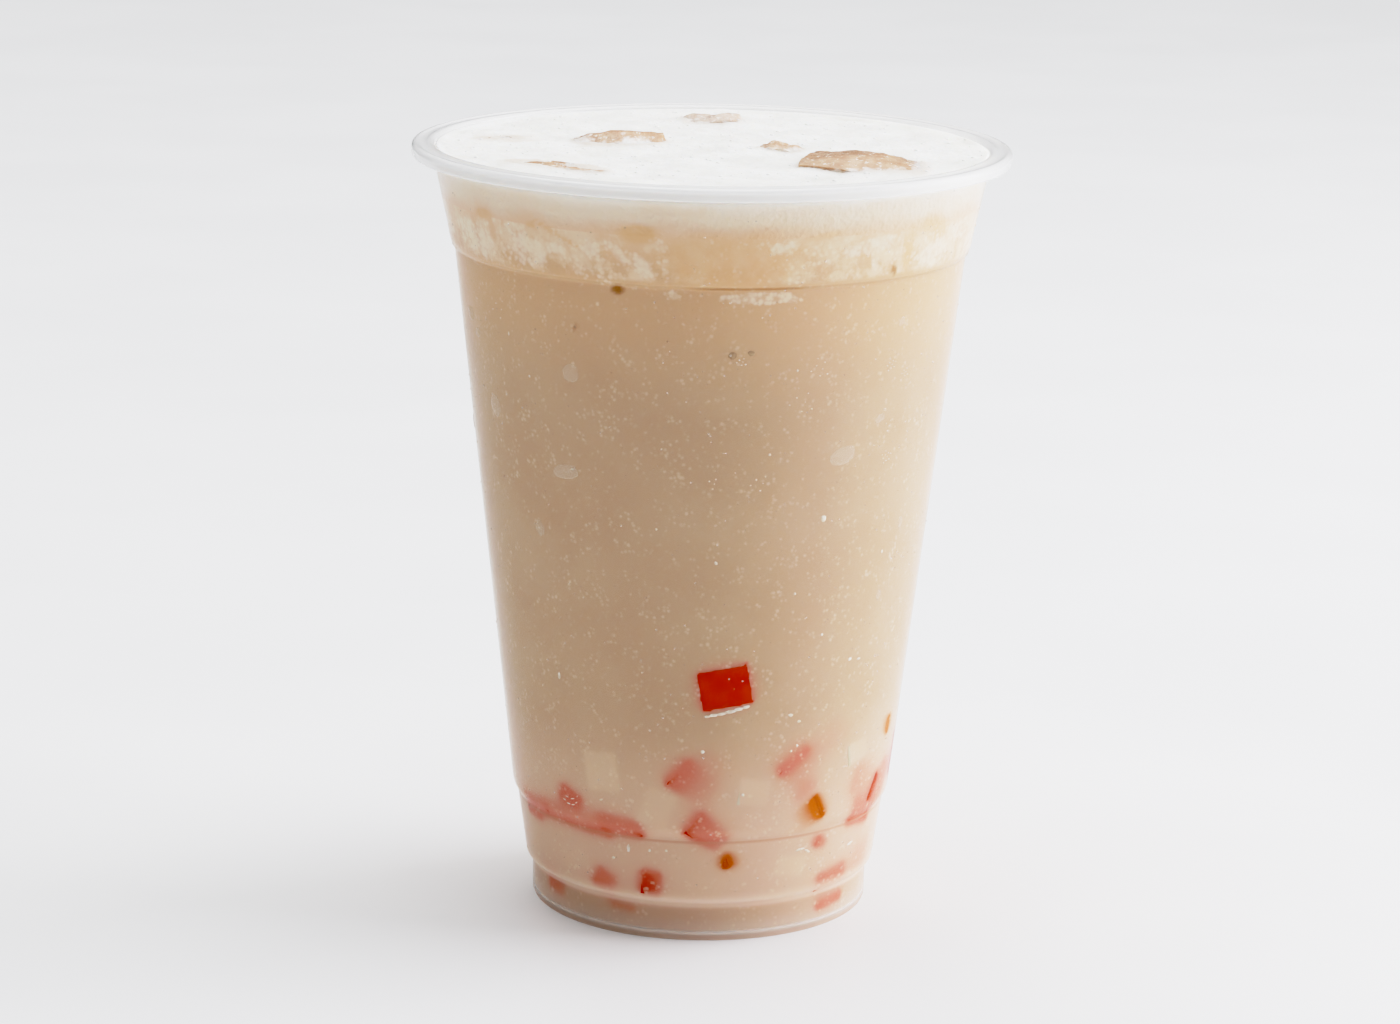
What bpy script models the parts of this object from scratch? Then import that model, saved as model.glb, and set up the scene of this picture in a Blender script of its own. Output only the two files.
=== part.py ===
"""Bubble tea: a clear plastic cup filled to the brim with milk tea, froth, ice and fruit jelly.

Metres, +Z up. The origin is on the floor, under the middle of the cup. The front is at -Y.
Sizes below are in millimetres, angles in degrees. Azimuth 0 is the front and grows towards +X.
"""

import math

import bmesh
import bpy
from mathutils import Matrix, Vector, noise

MM = 0.001
SEGMENTS = 44
GAP = 0.3

# Cup wall
WALL = 0.6
RIM_RADIUS = 46.8
RIM_HEIGHT = 121.7
SKIRT_DEPTH = 2.0
SKIRT_THICKNESS = 0.7
COLLAR_TOP_RADIUS = 43.5
COLLAR_TOP = 120.0
COLLAR_FOOT_RADIUS = 41.13
COLLAR_FOOT = 109.0
SHOULDER_RADIUS = 40.45
SHOULDER = 105.8
TAPER_TOP_RADIUS = 40.0
TAPER_FOOT_RADIUS = 30.22
TAPER_FOOT = 19.2
STEP_RADIUS = 29.36
STEP = 16.9
HEEL_RADIUS = 28.0
HEEL = 7.5
FOOT_RADIUS = 26.9
FOOT = 5.0
BASE_RADIUS = 26.35
FOOT_RING_WIDTH = 4.0
FOOT_RING_DRAFT = 0.3
FOOT_RING_FLOOR = 0.7
RECESS = 1.4
FLOOR = 2.1
FLOOR_FILLET = 0.9

# Contents
FROTH_TOP = 120.9
FROTH_BOTTOM = 113.6
FROTH_RELIEF = 0.45
FROTH_RINGS = 7
ICE_CUTS = 2
ICE_ROOM = 5.0
JELLY = 8.0
JELLY_BEVEL = 0.3


def arc(radius, height, size, start, end, count):
    """Points of a round corner of the given size about (radius, height)."""
    points = []
    for i in range(count + 1):
        angle = math.radians(start + (end - start) * i / count)
        points.append((radius + size * math.cos(angle), height + size * math.sin(angle)))
    return points


def wall_outline():
    """The outer side of the cup wall below the flange, from the top down."""
    collar = [(COLLAR_TOP_RADIUS, COLLAR_TOP), (COLLAR_FOOT_RADIUS, COLLAR_FOOT)]
    shoulder = [(COLLAR_FOOT_RADIUS - 0.3, SHOULDER + 1.5), (SHOULDER_RADIUS, SHOULDER + 0.2),
                (TAPER_TOP_RADIUS, SHOULDER - 0.2)]
    step = [(TAPER_FOOT_RADIUS, TAPER_FOOT), (TAPER_FOOT_RADIUS - 0.25, TAPER_FOOT - 0.8),
            (STEP_RADIUS + 0.1, STEP + 0.6), (STEP_RADIUS, STEP)]
    heel_bend = HEEL - FOOT - 0.3
    heel = arc(HEEL_RADIUS - heel_bend * 0.5, HEEL, heel_bend * 0.5, 0, -80, 3)
    foot = [(FOOT_RADIUS, FOOT), (FOOT_RADIUS - 0.05, 0.6)]
    return collar + shoulder + step + heel + foot


def inner_radius(height):
    """Radius of the inside of the wall at a height."""
    outline = wall_outline()
    if height >= outline[0][1]:
        return outline[0][0] - WALL
    for (r_top, z_top), (r_low, z_low) in zip(outline, outline[1:]):
        if z_low <= height <= z_top:
            share = (height - z_low) / (z_top - z_low)
            return r_low + (r_top - r_low) * share - WALL
    return outline[-1][0] - WALL


def inside_outline(top, gap):
    """The inside of the cup from a level down to its floor, kept clear of the wall by the gap.

    The foot ring is hollow: the wall goes down into it and comes up again to the raised floor.
    """
    points = [(0.0, top), (inner_radius(top) - gap, top)]
    corner_height = FOOT_RING_FLOOR + gap + FLOOR_FILLET
    points += [(r - WALL - gap, z) for r, z in wall_outline() if corner_height < z < top]
    corner_radius = inner_radius(FOOT_RING_FLOOR) - gap - FLOOR_FILLET
    points += arc(corner_radius, corner_height, FLOOR_FILLET, 0, -90, 2)
    ring_side = BASE_RADIUS - FOOT_RING_WIDTH + WALL + gap
    points.append((ring_side, FOOT_RING_FLOOR + gap))
    points.append((ring_side - FOOT_RING_DRAFT, FLOOR + gap))
    points.append((0.0, FLOOR + gap))
    return points


def cup_outline():
    """The whole section of the cup: up its inside, over the flange and down its outside."""
    inside = list(reversed(inside_outline(COLLAR_TOP + 0.4, 0.0)))[:-1]
    lip = arc(COLLAR_TOP_RADIUS + 0.3, RIM_HEIGHT - 0.8, 0.8, 150, 90, 2)
    edge = arc(RIM_RADIUS - 0.7, RIM_HEIGHT - 0.7, 0.7, 90, 0, 3)
    skirt_foot = RIM_HEIGHT - SKIRT_DEPTH
    skirt_inside = RIM_RADIUS - SKIRT_THICKNESS
    under = RIM_HEIGHT - SKIRT_THICKNESS
    skirt = [(RIM_RADIUS, skirt_foot + 0.2), (RIM_RADIUS - 0.2, skirt_foot), (skirt_inside, skirt_foot),
             (skirt_inside, under - 0.4), (skirt_inside - 0.4, under), (COLLAR_TOP_RADIUS + 0.4, under)]
    ring_inside = BASE_RADIUS - FOOT_RING_WIDTH
    base = [(BASE_RADIUS, 0.0), (ring_inside, 0.0), (ring_inside - FOOT_RING_DRAFT, RECESS), (0.0, RECESS)]
    return inside + lip + edge + skirt + wall_outline() + base


def finish(obj, material, collection):
    """Give an object its material and collection."""
    for owner in obj.users_collection:
        owner.objects.unlink(obj)
    collection.objects.link(obj)
    obj.data.materials.clear()
    obj.data.materials.append(material)
    return obj


def plastic(name, colour, roughness, alpha=1.0):
    """A material with the colour and roughness of one sub-part."""
    material = bpy.data.materials.new(name)
    material.use_nodes = True
    shader = material.node_tree.nodes["Principled BSDF"]
    shader.inputs["Base Color"].default_value = (*colour, 1.0)
    shader.inputs["Roughness"].default_value = roughness
    shader.inputs["Metallic"].default_value = 0.0
    shader.inputs["Alpha"].default_value = alpha
    return material


def turned(name, outline, material, collection):
    """A round body turned about Z from its outline."""
    mesh = bpy.data.meshes.new(name)
    vertices = [(r * MM, 0.0, z * MM) for r, z in outline]
    edges = [(i, i + 1) for i in range(len(outline) - 1)]
    mesh.from_pydata(vertices, edges, [])
    obj = bpy.data.objects.new(name, mesh)
    screw = obj.modifiers.new("Turn", "SCREW")
    screw.steps = SEGMENTS
    screw.render_steps = SEGMENTS
    screw.use_merge_vertices = True
    screw.merge_threshold = 0.00001
    screw.use_smooth_shade = False
    return finish(obj, material, collection)


def baked(obj):
    """Replace an object's modifiers by the mesh that they make."""
    graph = bpy.context.evaluated_depsgraph_get()
    obj.data = bpy.data.meshes.new_from_object(obj.evaluated_get(graph))
    obj.modifiers.clear()
    return obj


def triangulated(obj):
    """Split an object's faces into triangles, so that uneven faces are the same in every cut."""
    mesh = bmesh.new()
    mesh.from_mesh(obj.data)
    bmesh.ops.triangulate(mesh, faces=mesh.faces[:])
    mesh.to_mesh(obj.data)
    mesh.free()
    return obj


def boolean(obj, other, operation):
    """Cut or trim one object by another. Many close cuts in one body need the manifold solver."""
    modifier = obj.modifiers.new(operation.title(), "BOOLEAN")
    modifier.operation = operation
    modifier.solver = "MANIFOLD"
    modifier.object = other
    return modifier


def make_froth(material, collection):
    """The froth: a thick white layer with a gently lumpy top, level with the flange's inner edge."""
    edge = inner_radius(FROTH_TOP) - GAP
    outline = [(edge * i / FROTH_RINGS, FROTH_TOP) for i in range(FROTH_RINGS + 1)]
    outline.append((inner_radius((FROTH_TOP + FROTH_BOTTOM) / 2) - GAP, (FROTH_TOP + FROTH_BOTTOM) / 2))
    outline.append((inner_radius(FROTH_BOTTOM) - GAP, FROTH_BOTTOM))
    outline.append((0.0, FROTH_BOTTOM))
    froth = baked(turned("froth", outline, material, collection))
    for vertex in froth.data.vertices:
        radius = math.hypot(vertex.co.x, vertex.co.y) / MM
        if vertex.co.z > (FROTH_TOP - 0.01) * MM and radius < edge - 0.5:
            lump = noise.noise(Vector((vertex.co.x, vertex.co.y, 0.0)) * 130.0)
            vertex.co.z += FROTH_RELIEF * lump * MM
    return triangulated(froth)


def ice_lump(name, place, size, turn, seed, grow, material, collection):
    """A melting lump of ice: a rounded block with uneven faces. Grow swells it into a cutter."""
    bpy.ops.mesh.primitive_cube_add(size=1.0)
    lump = bpy.context.object
    lump.name = name
    lump.data.name = name
    mesh = bmesh.new()
    mesh.from_mesh(lump.data)
    bmesh.ops.subdivide_edges(mesh, edges=mesh.edges[:], cuts=ICE_CUTS, use_grid_fill=True)
    for vertex in mesh.verts:
        ball = vertex.co.normalized() * 0.62
        vertex.co = vertex.co.lerp(ball, 0.45)
        dent = noise.noise(vertex.co * 2.3 + Vector((seed * 7.1, seed * 3.3, 0.0)))
        vertex.co *= 1.0 + 0.16 * dent
        vertex.co = Vector((vertex.co.x * size[0], vertex.co.y * size[1], vertex.co.z * size[2]))
    bmesh.ops.triangulate(mesh, faces=mesh.faces[:], quad_method="FIXED")
    mesh.normal_update()
    for vertex, normal in [(v, v.normal.copy()) for v in mesh.verts]:
        vertex.co += normal * grow
    mesh.to_mesh(lump.data)
    mesh.free()
    lump.data.transform(Matrix.Scale(MM, 4))
    lump.location = Vector(place) * MM
    lump.rotation_euler = [math.radians(angle) for angle in turn]
    return finish(lump, material, collection)


def wall_place(azimuth, height):
    """A point on the inside of the wall, in millimetres."""
    radius = inner_radius(height)
    angle = math.radians(azimuth)
    return Vector((radius * math.sin(angle), -radius * math.cos(angle), height))


def jelly_pose(azimuth, height, touch, turn, swing, tip, sink, size):
    """Where a jelly cube lies, so that its touch point (-1 to 1 along each side) meets the wall.

    The cube is tipped, then swung about its upright, then turned against the wall.
    """
    lean = math.degrees(math.atan2(TAPER_TOP_RADIUS - TAPER_FOOT_RADIUS, SHOULDER - TAPER_FOOT))
    spin = Matrix.Rotation(math.radians(azimuth), 3, "Z") @ Matrix.Rotation(math.radians(lean), 3, "X")
    spin = spin @ Matrix.Rotation(math.radians(turn), 3, "Y") @ Matrix.Rotation(math.radians(swing), 3, "Z")
    spin = spin @ Matrix.Rotation(math.radians(tip), 3, "X")
    inward = Vector((-math.sin(math.radians(azimuth)), math.cos(math.radians(azimuth)), 0.0))
    corner = Vector([t * s / 2 for t, s in zip(touch, size)])
    centre = wall_place(azimuth, height) - spin @ corner + inward * sink
    pose = spin.to_4x4()
    pose.translation = centre * MM
    return pose


def jelly_cube(name, pose, size, grow, material, collection):
    """A cut cube of fruit jelly with slightly soft edges. Grow swells it into a cutter."""
    bpy.ops.mesh.primitive_cube_add(size=1.0)
    cube = bpy.context.object
    cube.name = name
    cube.data.name = name
    scale = [(s + 2 * grow) * MM for s in size]
    cube.data.transform(Matrix.Diagonal((*scale, 1.0)))
    cube.matrix_world = pose
    if not grow:
        bevel = cube.modifiers.new("Soft edges", "BEVEL")
        bevel.width = JELLY_BEVEL * MM
        bevel.segments = 1
    return finish(cube, material, collection)


# Lumps of ice that break the froth: place of the middle, size, turn
TOP_ICE = [
    ((-14.3, 4.5, 116.3), (14.0, 9.0, 11.0), (3, -4, 4)),
    ((0.2, 30.2, 116.2), (9.6, 8.6, 10.8), (-4, -5, 6)),
    ((23.0, -15.9, 115.6), (20.5, 14.6, 12.6), (3, 5, -14)),
    ((-23.3, -22.4, 116.4), (17.5, 5.4, 9.4), (2, 0, -28)),
    ((-32.4, 6.2, 116.2), (9.4, 7.0, 8.8), (0, 0, 12)),
    ((10.4, 0.6, 116.6), (6.6, 5.0, 9.6), (0, 5, -20)),
]

# Lumps of ice that lie against the wall: azimuth, height, size, turn
WALL_ICE = [
    (5.0, 109.9, (20.0, 11.0, 8.6), (0, 4, 0)),
    (-17.0, 112.4, (6.5, 6.0, 4.2), (4, -10, 6)),
    (140.0, 109.0, (14.0, 9.0, 8.0), (0, -6, 8)),
    (-130.0, 109.2, (12.0, 9.0, 7.5), (5, 7, 0)),
]

# Jelly against the wall: flavour, azimuth, height, touch, turn, swing, tip, sink, share of full size
ALL_JELLY = [
    ("red", 6.3, 42.6, (0, -1, 0), -10, 0, 0, -0.35, (0.96, 1.0, 0.78)),
    ("red", -6.9, 28.9, (-1, -1, 0), 38, 20, -4, -0.04, (1.00, 0.75, 0.74)),
    ("red", -2.4, 20.4, (-1, -1, 0), 36, 17, -2, -0.09, (0.84, 0.60, 0.60)),
    ("red", 27.6, 30.0, (-1, -1, 0), 52, 38, -2, -0.10, (0.60, 0.50, 0.82)),
    ("red", -15.5, 9.4, (0, -1, 0), 6, 4, 0, 0.05, (0.42, 0.75, 0.56)),
    ("red", -31.8, 8.7, (0, -1, 0), 26, 8, 0, 0.58, (0.52, 0.90, 0.52)),
    ("red", -36.0, 18.7, (0, -1, 0), 4, -4, 0, 1.15, (1.05, 0.90, 0.56)),
    ("red", 64.0, 21.8, (-1, -1, 0), 30, 20, 0, -0.38, (0.66, 0.60, 0.62)),
    ("red", 49.0, 8.3, (0, -1, 0), -10, 0, 0, 0.55, (0.85, 0.85, 0.44)),
    ("red", 40.4, 16.3, (-1, -1, 1), 24, 26, 0, -0.15, (0.36, 0.40, 0.26)),
    ("red", -57.5, 5.6, (0, -1, 0), 12, 8, 0, 0.60, (0.60, 0.85, 0.60)),
    ("red", 86.0, 24.5, (0, -1, 0), 10, 4, 0, -0.20, (0.70, 0.60, 0.90)),
    ("orange", 38.6, 21.6, (1, -1, 0), -28, -24, 0, -0.36, (0.70, 0.60, 0.56)),
    ("orange", 8.6, 12.6, (-1, -1, -1), 8, 38, -18, -0.70, (0.45, 0.42, 0.36)),
    ("orange", 71.0, 31.2, (1, -1, 0), 10, -36, 0, -0.30, (0.60, 0.60, 0.40)),
    ("pale", -30.0, 27.4, (0, -1, 0), -6, 0, 0, 0.10, (0.75, 0.90, 0.85)),
    ("pale", 16.0, 25.2, (0, -1, 0), 8, 4, 0, 0.15, (0.66, 0.50, 0.60)),
    ("pale", 52.5, 29.2, (0, -1, 0), -12, 6, 0, 0.15, (0.65, 0.80, 0.50)),
    ("pale", 30.8, 11.9, (0, -1, 0), 10, 0, 0, 0.12, (0.66, 0.55, 0.48)),
    ("red", 112.0, 18.0, (0, -1, 0), 22, 12, 0, -0.20, (0.90, 0.90, 0.90)),
    ("pale", 134.0, 26.0, (0, -1, 0), -15, 0, 0, -0.25, (0.85, 0.85, 0.80)),
    ("red", 155.0, 11.5, (-1, -1, 0), 30, 25, 0, -0.35, (0.85, 0.85, 0.85)),
    ("orange", 172.0, 27.5, (1, -1, 0), -28, -30, 0, -0.35, (0.75, 0.75, 0.75)),
    ("red", -168.0, 38.0, (0, -1, 0), 14, 0, 0, -0.30, (0.90, 0.90, 0.85)),
    ("red", -150.0, 19.5, (-1, -1, 0), 36, 24, 0, -0.35, (0.90, 0.90, 0.90)),
    ("pale", -128.0, 12.0, (0, -1, 0), 8, 4, 0, -0.25, (0.80, 0.80, 0.75)),
    ("red", -112.0, 25.0, (0, -1, 0), -20, 0, 0, -0.30, (0.90, 0.90, 0.90)),
    ("orange", -88.0, 14.5, (1, -1, 0), -18, -26, 0, -0.35, (0.75, 0.75, 0.75)),
]


def main():
    for obj in list(bpy.data.objects):
        bpy.data.objects.remove(obj, do_unlink=True)

    parts = bpy.data.collections.new("bubble_tea")
    cutters = bpy.data.collections.new("cutters")
    bpy.context.scene.collection.children.link(parts)
    bpy.context.scene.collection.children.link(cutters)

    clear = plastic("clear_plastic", (0.90, 0.91, 0.92), 0.12, alpha=0.35)
    tea = plastic("milk_tea", (0.56, 0.42, 0.29), 0.30)
    foam = plastic("froth", (0.87, 0.86, 0.81), 0.60)
    ice = plastic("wet_ice", (0.55, 0.39, 0.27), 0.10)
    jellies = {
        "red": plastic("red_jelly", (0.50, 0.02, 0.003), 0.20),
        "orange": plastic("orange_jelly", (0.62, 0.20, 0.02), 0.20),
        "pale": plastic("pale_jelly", (0.66, 0.55, 0.36), 0.25),
    }

    turned("cup", cup_outline(), clear, parts)
    milk_tea = turned("milk_tea", inside_outline(FROTH_BOTTOM - GAP, GAP), tea, parts)
    froth = make_froth(foam, parts)
    inside = turned("inside_of_cup", inside_outline(RIM_HEIGHT + ICE_ROOM, GAP), tea, cutters)

    lumps = list(TOP_ICE)
    for azimuth, height, size, turn in WALL_ICE:
        sunk = wall_place(azimuth, height)
        sunk *= 1.0 - (size[1] / 2 - 1.2) / math.hypot(sunk.x, sunk.y)
        sunk.z = height
        lumps.append((sunk, size, (turn[0], turn[1], turn[2] + azimuth)))
    for number, (place, size, turn) in enumerate(lumps, start=1):
        lump = ice_lump("ice_%d" % number, place, size, turn, number, 0.0, ice, parts)
        boolean(lump, inside, "INTERSECT")
        cutter = ice_lump("ice_%d_cutter" % number, place, size, turn, number, GAP * 1.3, ice, cutters)
        boolean(milk_tea, cutter, "DIFFERENCE")
        boolean(froth, cutter, "DIFFERENCE")

    counts = {flavour: 0 for flavour in jellies}
    for flavour, azimuth, height, touch, turn, swing, tip, sink, share in ALL_JELLY:
        counts[flavour] += 1
        name = "%s_jelly_%d" % (flavour, counts[flavour])
        size = [JELLY * s for s in share]
        pose = jelly_pose(azimuth, height, touch, turn, swing, tip, sink + GAP, size)
        cube = jelly_cube(name, pose, size, 0.0, jellies[flavour], parts)
        boolean(cube, inside, "INTERSECT")
        cutter = jelly_cube(name + "_cutter", pose, size, GAP, jellies[flavour], cutters)
        boolean(milk_tea, cutter, "DIFFERENCE")

    for cutter in cutters.objects:
        cutter.hide_render = True
        cutter.display_type = "WIRE"


main()
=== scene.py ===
"""Bubble tea in a clear plastic cup: milk tea, froth, ice and fruit jelly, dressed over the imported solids.

Sizes are in millimetres and angles in degrees until a mesh is made. Azimuth 0 is the front of the cup, at
-Y, and azimuths grow towards +X.
"""
import math

import bmesh
import bpy
import numpy as np
from mathutils import Matrix, Vector, noise
from mathutils.bvhtree import BVHTree


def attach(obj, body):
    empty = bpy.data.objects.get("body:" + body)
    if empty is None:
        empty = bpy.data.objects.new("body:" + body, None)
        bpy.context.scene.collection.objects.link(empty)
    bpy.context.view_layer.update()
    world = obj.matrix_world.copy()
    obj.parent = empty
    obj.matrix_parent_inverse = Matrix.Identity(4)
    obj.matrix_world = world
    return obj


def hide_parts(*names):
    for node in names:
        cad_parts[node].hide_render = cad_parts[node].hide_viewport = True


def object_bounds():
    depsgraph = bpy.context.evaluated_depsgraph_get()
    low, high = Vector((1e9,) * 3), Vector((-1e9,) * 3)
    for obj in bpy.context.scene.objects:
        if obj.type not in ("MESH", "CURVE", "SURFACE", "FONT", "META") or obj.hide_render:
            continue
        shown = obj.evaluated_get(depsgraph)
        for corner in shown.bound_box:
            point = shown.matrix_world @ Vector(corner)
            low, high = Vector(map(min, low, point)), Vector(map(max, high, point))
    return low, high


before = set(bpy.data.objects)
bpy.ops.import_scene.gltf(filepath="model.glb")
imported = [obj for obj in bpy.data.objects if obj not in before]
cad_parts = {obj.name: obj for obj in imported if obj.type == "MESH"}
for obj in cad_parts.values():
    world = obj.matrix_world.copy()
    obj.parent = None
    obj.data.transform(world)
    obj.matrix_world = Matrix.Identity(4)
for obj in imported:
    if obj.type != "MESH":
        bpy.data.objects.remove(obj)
cad_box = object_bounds()


# The cup. One sheet of clear, faintly milky plastic, drawn over a plug while hot: a flat flange with a
# turned-down skirt, a collar with a bead at its top, a long taper, a stacking step, a rounded heel and a
# floor raised on a foot ring.

MM = 0.001
WALL = 0.6
RIM_RADIUS = 46.8
RIM_HEIGHT = 121.7
SKIRT_DEPTH = 2.0
SKIRT_THICKNESS = 0.7
COLLAR_TOP = 120.0
COLLAR_TOP_RADIUS = 43.5
COLLAR_FOOT = 109.0
COLLAR_FOOT_RADIUS = 41.13
BEAD = 119.15
BEAD_RADIUS = 43.43
LIP_FOOT = 118.5
SHOULDER = 105.8
TAPER_TOP_RADIUS = 40.0
TAPER_FOOT = 19.2
TAPER_FOOT_RADIUS = 30.22
STEP = 16.9
STEP_RADIUS = 29.36
HEEL = 7.5
HEEL_RADIUS = 28.0
FOOT = 5.0
FOOT_RADIUS = 26.9
BASE_RADIUS = 26.35
RING_WIDTH = 4.0
RING_DRAFT = 0.3
RING_FLOOR = 0.7
RING_CORNER = 0.9
RECESS = 1.4
FLOOR = 2.1
CUP_TURNS = 220
FLANGE_CLEAR = 0.68


def arc(radius, height, size, start, end, count):
    """Points of a round corner of the given size about (radius, height)."""
    angles = [math.radians(start + (end - start) * i / count) for i in range(count + 1)]
    return [(radius + size * math.cos(angle), height + size * math.sin(angle)) for angle in angles]


def wall_outline():
    """The outer side of the wall, from the foot up to the flange."""
    bend = (HEEL - FOOT - 0.3) / 2
    foot = [(BASE_RADIUS + 0.1, 0.03), (BASE_RADIUS + 0.35, 0.2), (FOOT_RADIUS - 0.05, 0.6),
            (FOOT_RADIUS, FOOT)]
    heel = arc(HEEL_RADIUS - bend, HEEL, bend, -80, 0, 8)
    step = [(STEP_RADIUS, STEP), (STEP_RADIUS + 0.03, STEP + 0.35), (STEP_RADIUS + 0.1, STEP + 0.6),
            (TAPER_FOOT_RADIUS - 0.25, TAPER_FOOT - 0.8), (TAPER_FOOT_RADIUS - 0.08, TAPER_FOOT - 0.35),
            (TAPER_FOOT_RADIUS, TAPER_FOOT)]
    shoulder = [(TAPER_TOP_RADIUS, SHOULDER - 0.2), (TAPER_TOP_RADIUS + 0.45, SHOULDER + 0.2),
                (TAPER_TOP_RADIUS + 0.83, SHOULDER + 1.5)]
    collar = [(COLLAR_FOOT_RADIUS, COLLAR_FOOT), (BEAD_RADIUS - 0.25, BEAD - 0.6),
              (BEAD_RADIUS - 0.03, BEAD - 0.35), (BEAD_RADIUS, BEAD), (BEAD_RADIUS - 0.1, BEAD + 0.25),
              (COLLAR_TOP_RADIUS, COLLAR_TOP)]
    return foot + heel + step + shoulder + collar


OUTSIDE = wall_outline()


def outer_radius(height):
    """Radius of the outside of the wall at a height or at an array of heights."""
    return np.interp(height, [z for r, z in OUTSIDE], [r for r, z in OUTSIDE])


def inner_radius(height):
    """Radius of the inside of the wall."""
    return outer_radius(height) - WALL


def turned(name, outline, turns):
    """A closed round body turned about the upright through an outline, which goes up the outside."""
    verts = []
    rings = []
    for radius, height in outline:
        count = 1 if radius < 1e-6 else turns
        rings.append(range(len(verts), len(verts) + count))
        for i in range(count):
            angle = 2 * math.pi * i / turns
            verts.append((radius * math.sin(angle) * MM, -radius * math.cos(angle) * MM, height * MM))
    faces = []
    for low, high in zip(rings, rings[1:]):
        for i in range(turns):
            j = (i + 1) % turns
            if len(low) == 1:
                faces.append((low[0], high[j], high[i]))
            elif len(high) == 1:
                faces.append((low[i], low[j], high[0]))
            else:
                faces.append((low[i], low[j], high[j], high[i]))
    mesh = bpy.data.meshes.new(name)
    mesh.from_pydata(verts, [], faces)
    return mesh


def placed(name, mesh, material, smooth=35.0):
    """An object of a finished mesh, with smooth faces and sharp edges kept past an angle."""
    mesh.name = name
    mesh.materials.clear()
    mesh.materials.append(material)
    mesh.shade_smooth()
    mesh.set_sharp_from_angle(angle=math.radians(smooth))
    obj = bpy.data.objects.new(name, mesh)
    bpy.context.scene.collection.objects.link(obj)
    return obj


def finish_of(name, colour, roughness, **sockets):
    """A material with one shader. Sockets are given with underscores for spaces."""
    mat = bpy.data.materials.new(name)
    mat.use_nodes = True
    shader = mat.node_tree.nodes["Principled BSDF"]
    shader.inputs["Base Color"].default_value = (*colour, 1.0)
    shader.inputs["Roughness"].default_value = roughness
    for socket, value in sockets.items():
        shader.inputs[socket.replace("_", " ")].default_value = value
    return mat


def node_in(tree, kind, inputs=(), **settings):
    """A node in a tree, with its settings, and its inputs set or linked."""
    made = tree.nodes.new(kind)
    for key, value in settings.items():
        setattr(made, key, value)
    for key, value in dict(inputs).items():
        if isinstance(value, bpy.types.NodeSocket):
            tree.links.new(value, made.inputs[key])
        else:
            made.inputs[key].default_value = value
    return made


def add(mat, kind, inputs=(), **settings):
    """A node in a material."""
    return node_in(mat.node_tree, kind, inputs, **settings)


def shader_link(mat, socket, value):
    """Link a value to a socket of the material's shader."""
    mat.node_tree.links.new(value, mat.node_tree.nodes["Principled BSDF"].inputs[socket])


def place_of(mat):
    """The point in the object's own space."""
    return add(mat, "ShaderNodeTexCoord").outputs["Object"]


def level_of(mat):
    """The height of the point, in metres."""
    return add(mat, "ShaderNodeSeparateXYZ", {0: place_of(mat)}).outputs["Z"]


def grain(mat, size, detail=2.0, rough=0.5):
    """Soft noise with spots of about the given size in millimetres."""
    inputs = {"Vector": place_of(mat), "Scale": 1.0 / (size * MM), "Detail": detail, "Roughness": rough}
    return add(mat, "ShaderNodeTexNoise", inputs).outputs["Fac"]


def share(mat, value, low, high, start=0.0, end=1.0):
    """A value mapped from one range to another, smoothly, and kept inside it."""
    inputs = {"Value": value, "From Min": low, "From Max": high, "To Min": start, "To Max": end}
    return add(mat, "ShaderNodeMapRange", inputs, interpolation_type="SMOOTHSTEP").outputs["Result"]


def mixed(mat, amount, first, second):
    """One colour laid over another by an amount. A colour is a triple or a socket."""
    inputs = {0: amount}
    for index, colour in ((6, first), (7, second)):
        inputs[index] = colour if isinstance(colour, bpy.types.NodeSocket) else (*colour, 1.0)
    return add(mat, "ShaderNodeMix", inputs, data_type="RGBA").outputs[2]


def mottled(mat, first, second, size, low, high, detail=2.0, rough=0.5):
    """Two colours in soft spots of about the given size."""
    return mixed(mat, share(mat, grain(mat, size, detail, rough), low, high), first, second)


def times(mat, first, second, operation="MULTIPLY"):
    """Two numbers multiplied, or put together another way."""
    return add(mat, "ShaderNodeMath", {0: first, 1: second}, operation=operation).outputs[0]


def relief(mat, height, depth, strength=1.0, under=None):
    """A bump of a depth in millimetres, laid on the bump under it."""
    inputs = {"Height": height, "Distance": depth * MM, "Strength": strength}
    if under is not None:
        inputs["Normal"] = under
    return add(mat, "ShaderNodeBump", inputs).outputs["Normal"]


def inside_outline(top, proud):
    """The inside of the cup from its floor up to a level, reaching into the wall by a hair."""
    ring_side = BASE_RADIUS - RING_WIDTH + WALL - proud
    points = [(0.0, FLOOR - proud), (ring_side - RING_DRAFT, FLOOR - proud),
              (ring_side, RING_FLOOR - proud + 0.3), (ring_side + 0.3, RING_FLOOR - proud)]
    points += arc(inner_radius(RING_FLOOR) + proud - RING_CORNER, RING_FLOOR + RING_CORNER - proud,
                  RING_CORNER, -90, 0, 6)
    return points + [(r - WALL + proud, z) for r, z in OUTSIDE if RING_FLOOR + RING_CORNER < z < top]


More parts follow.
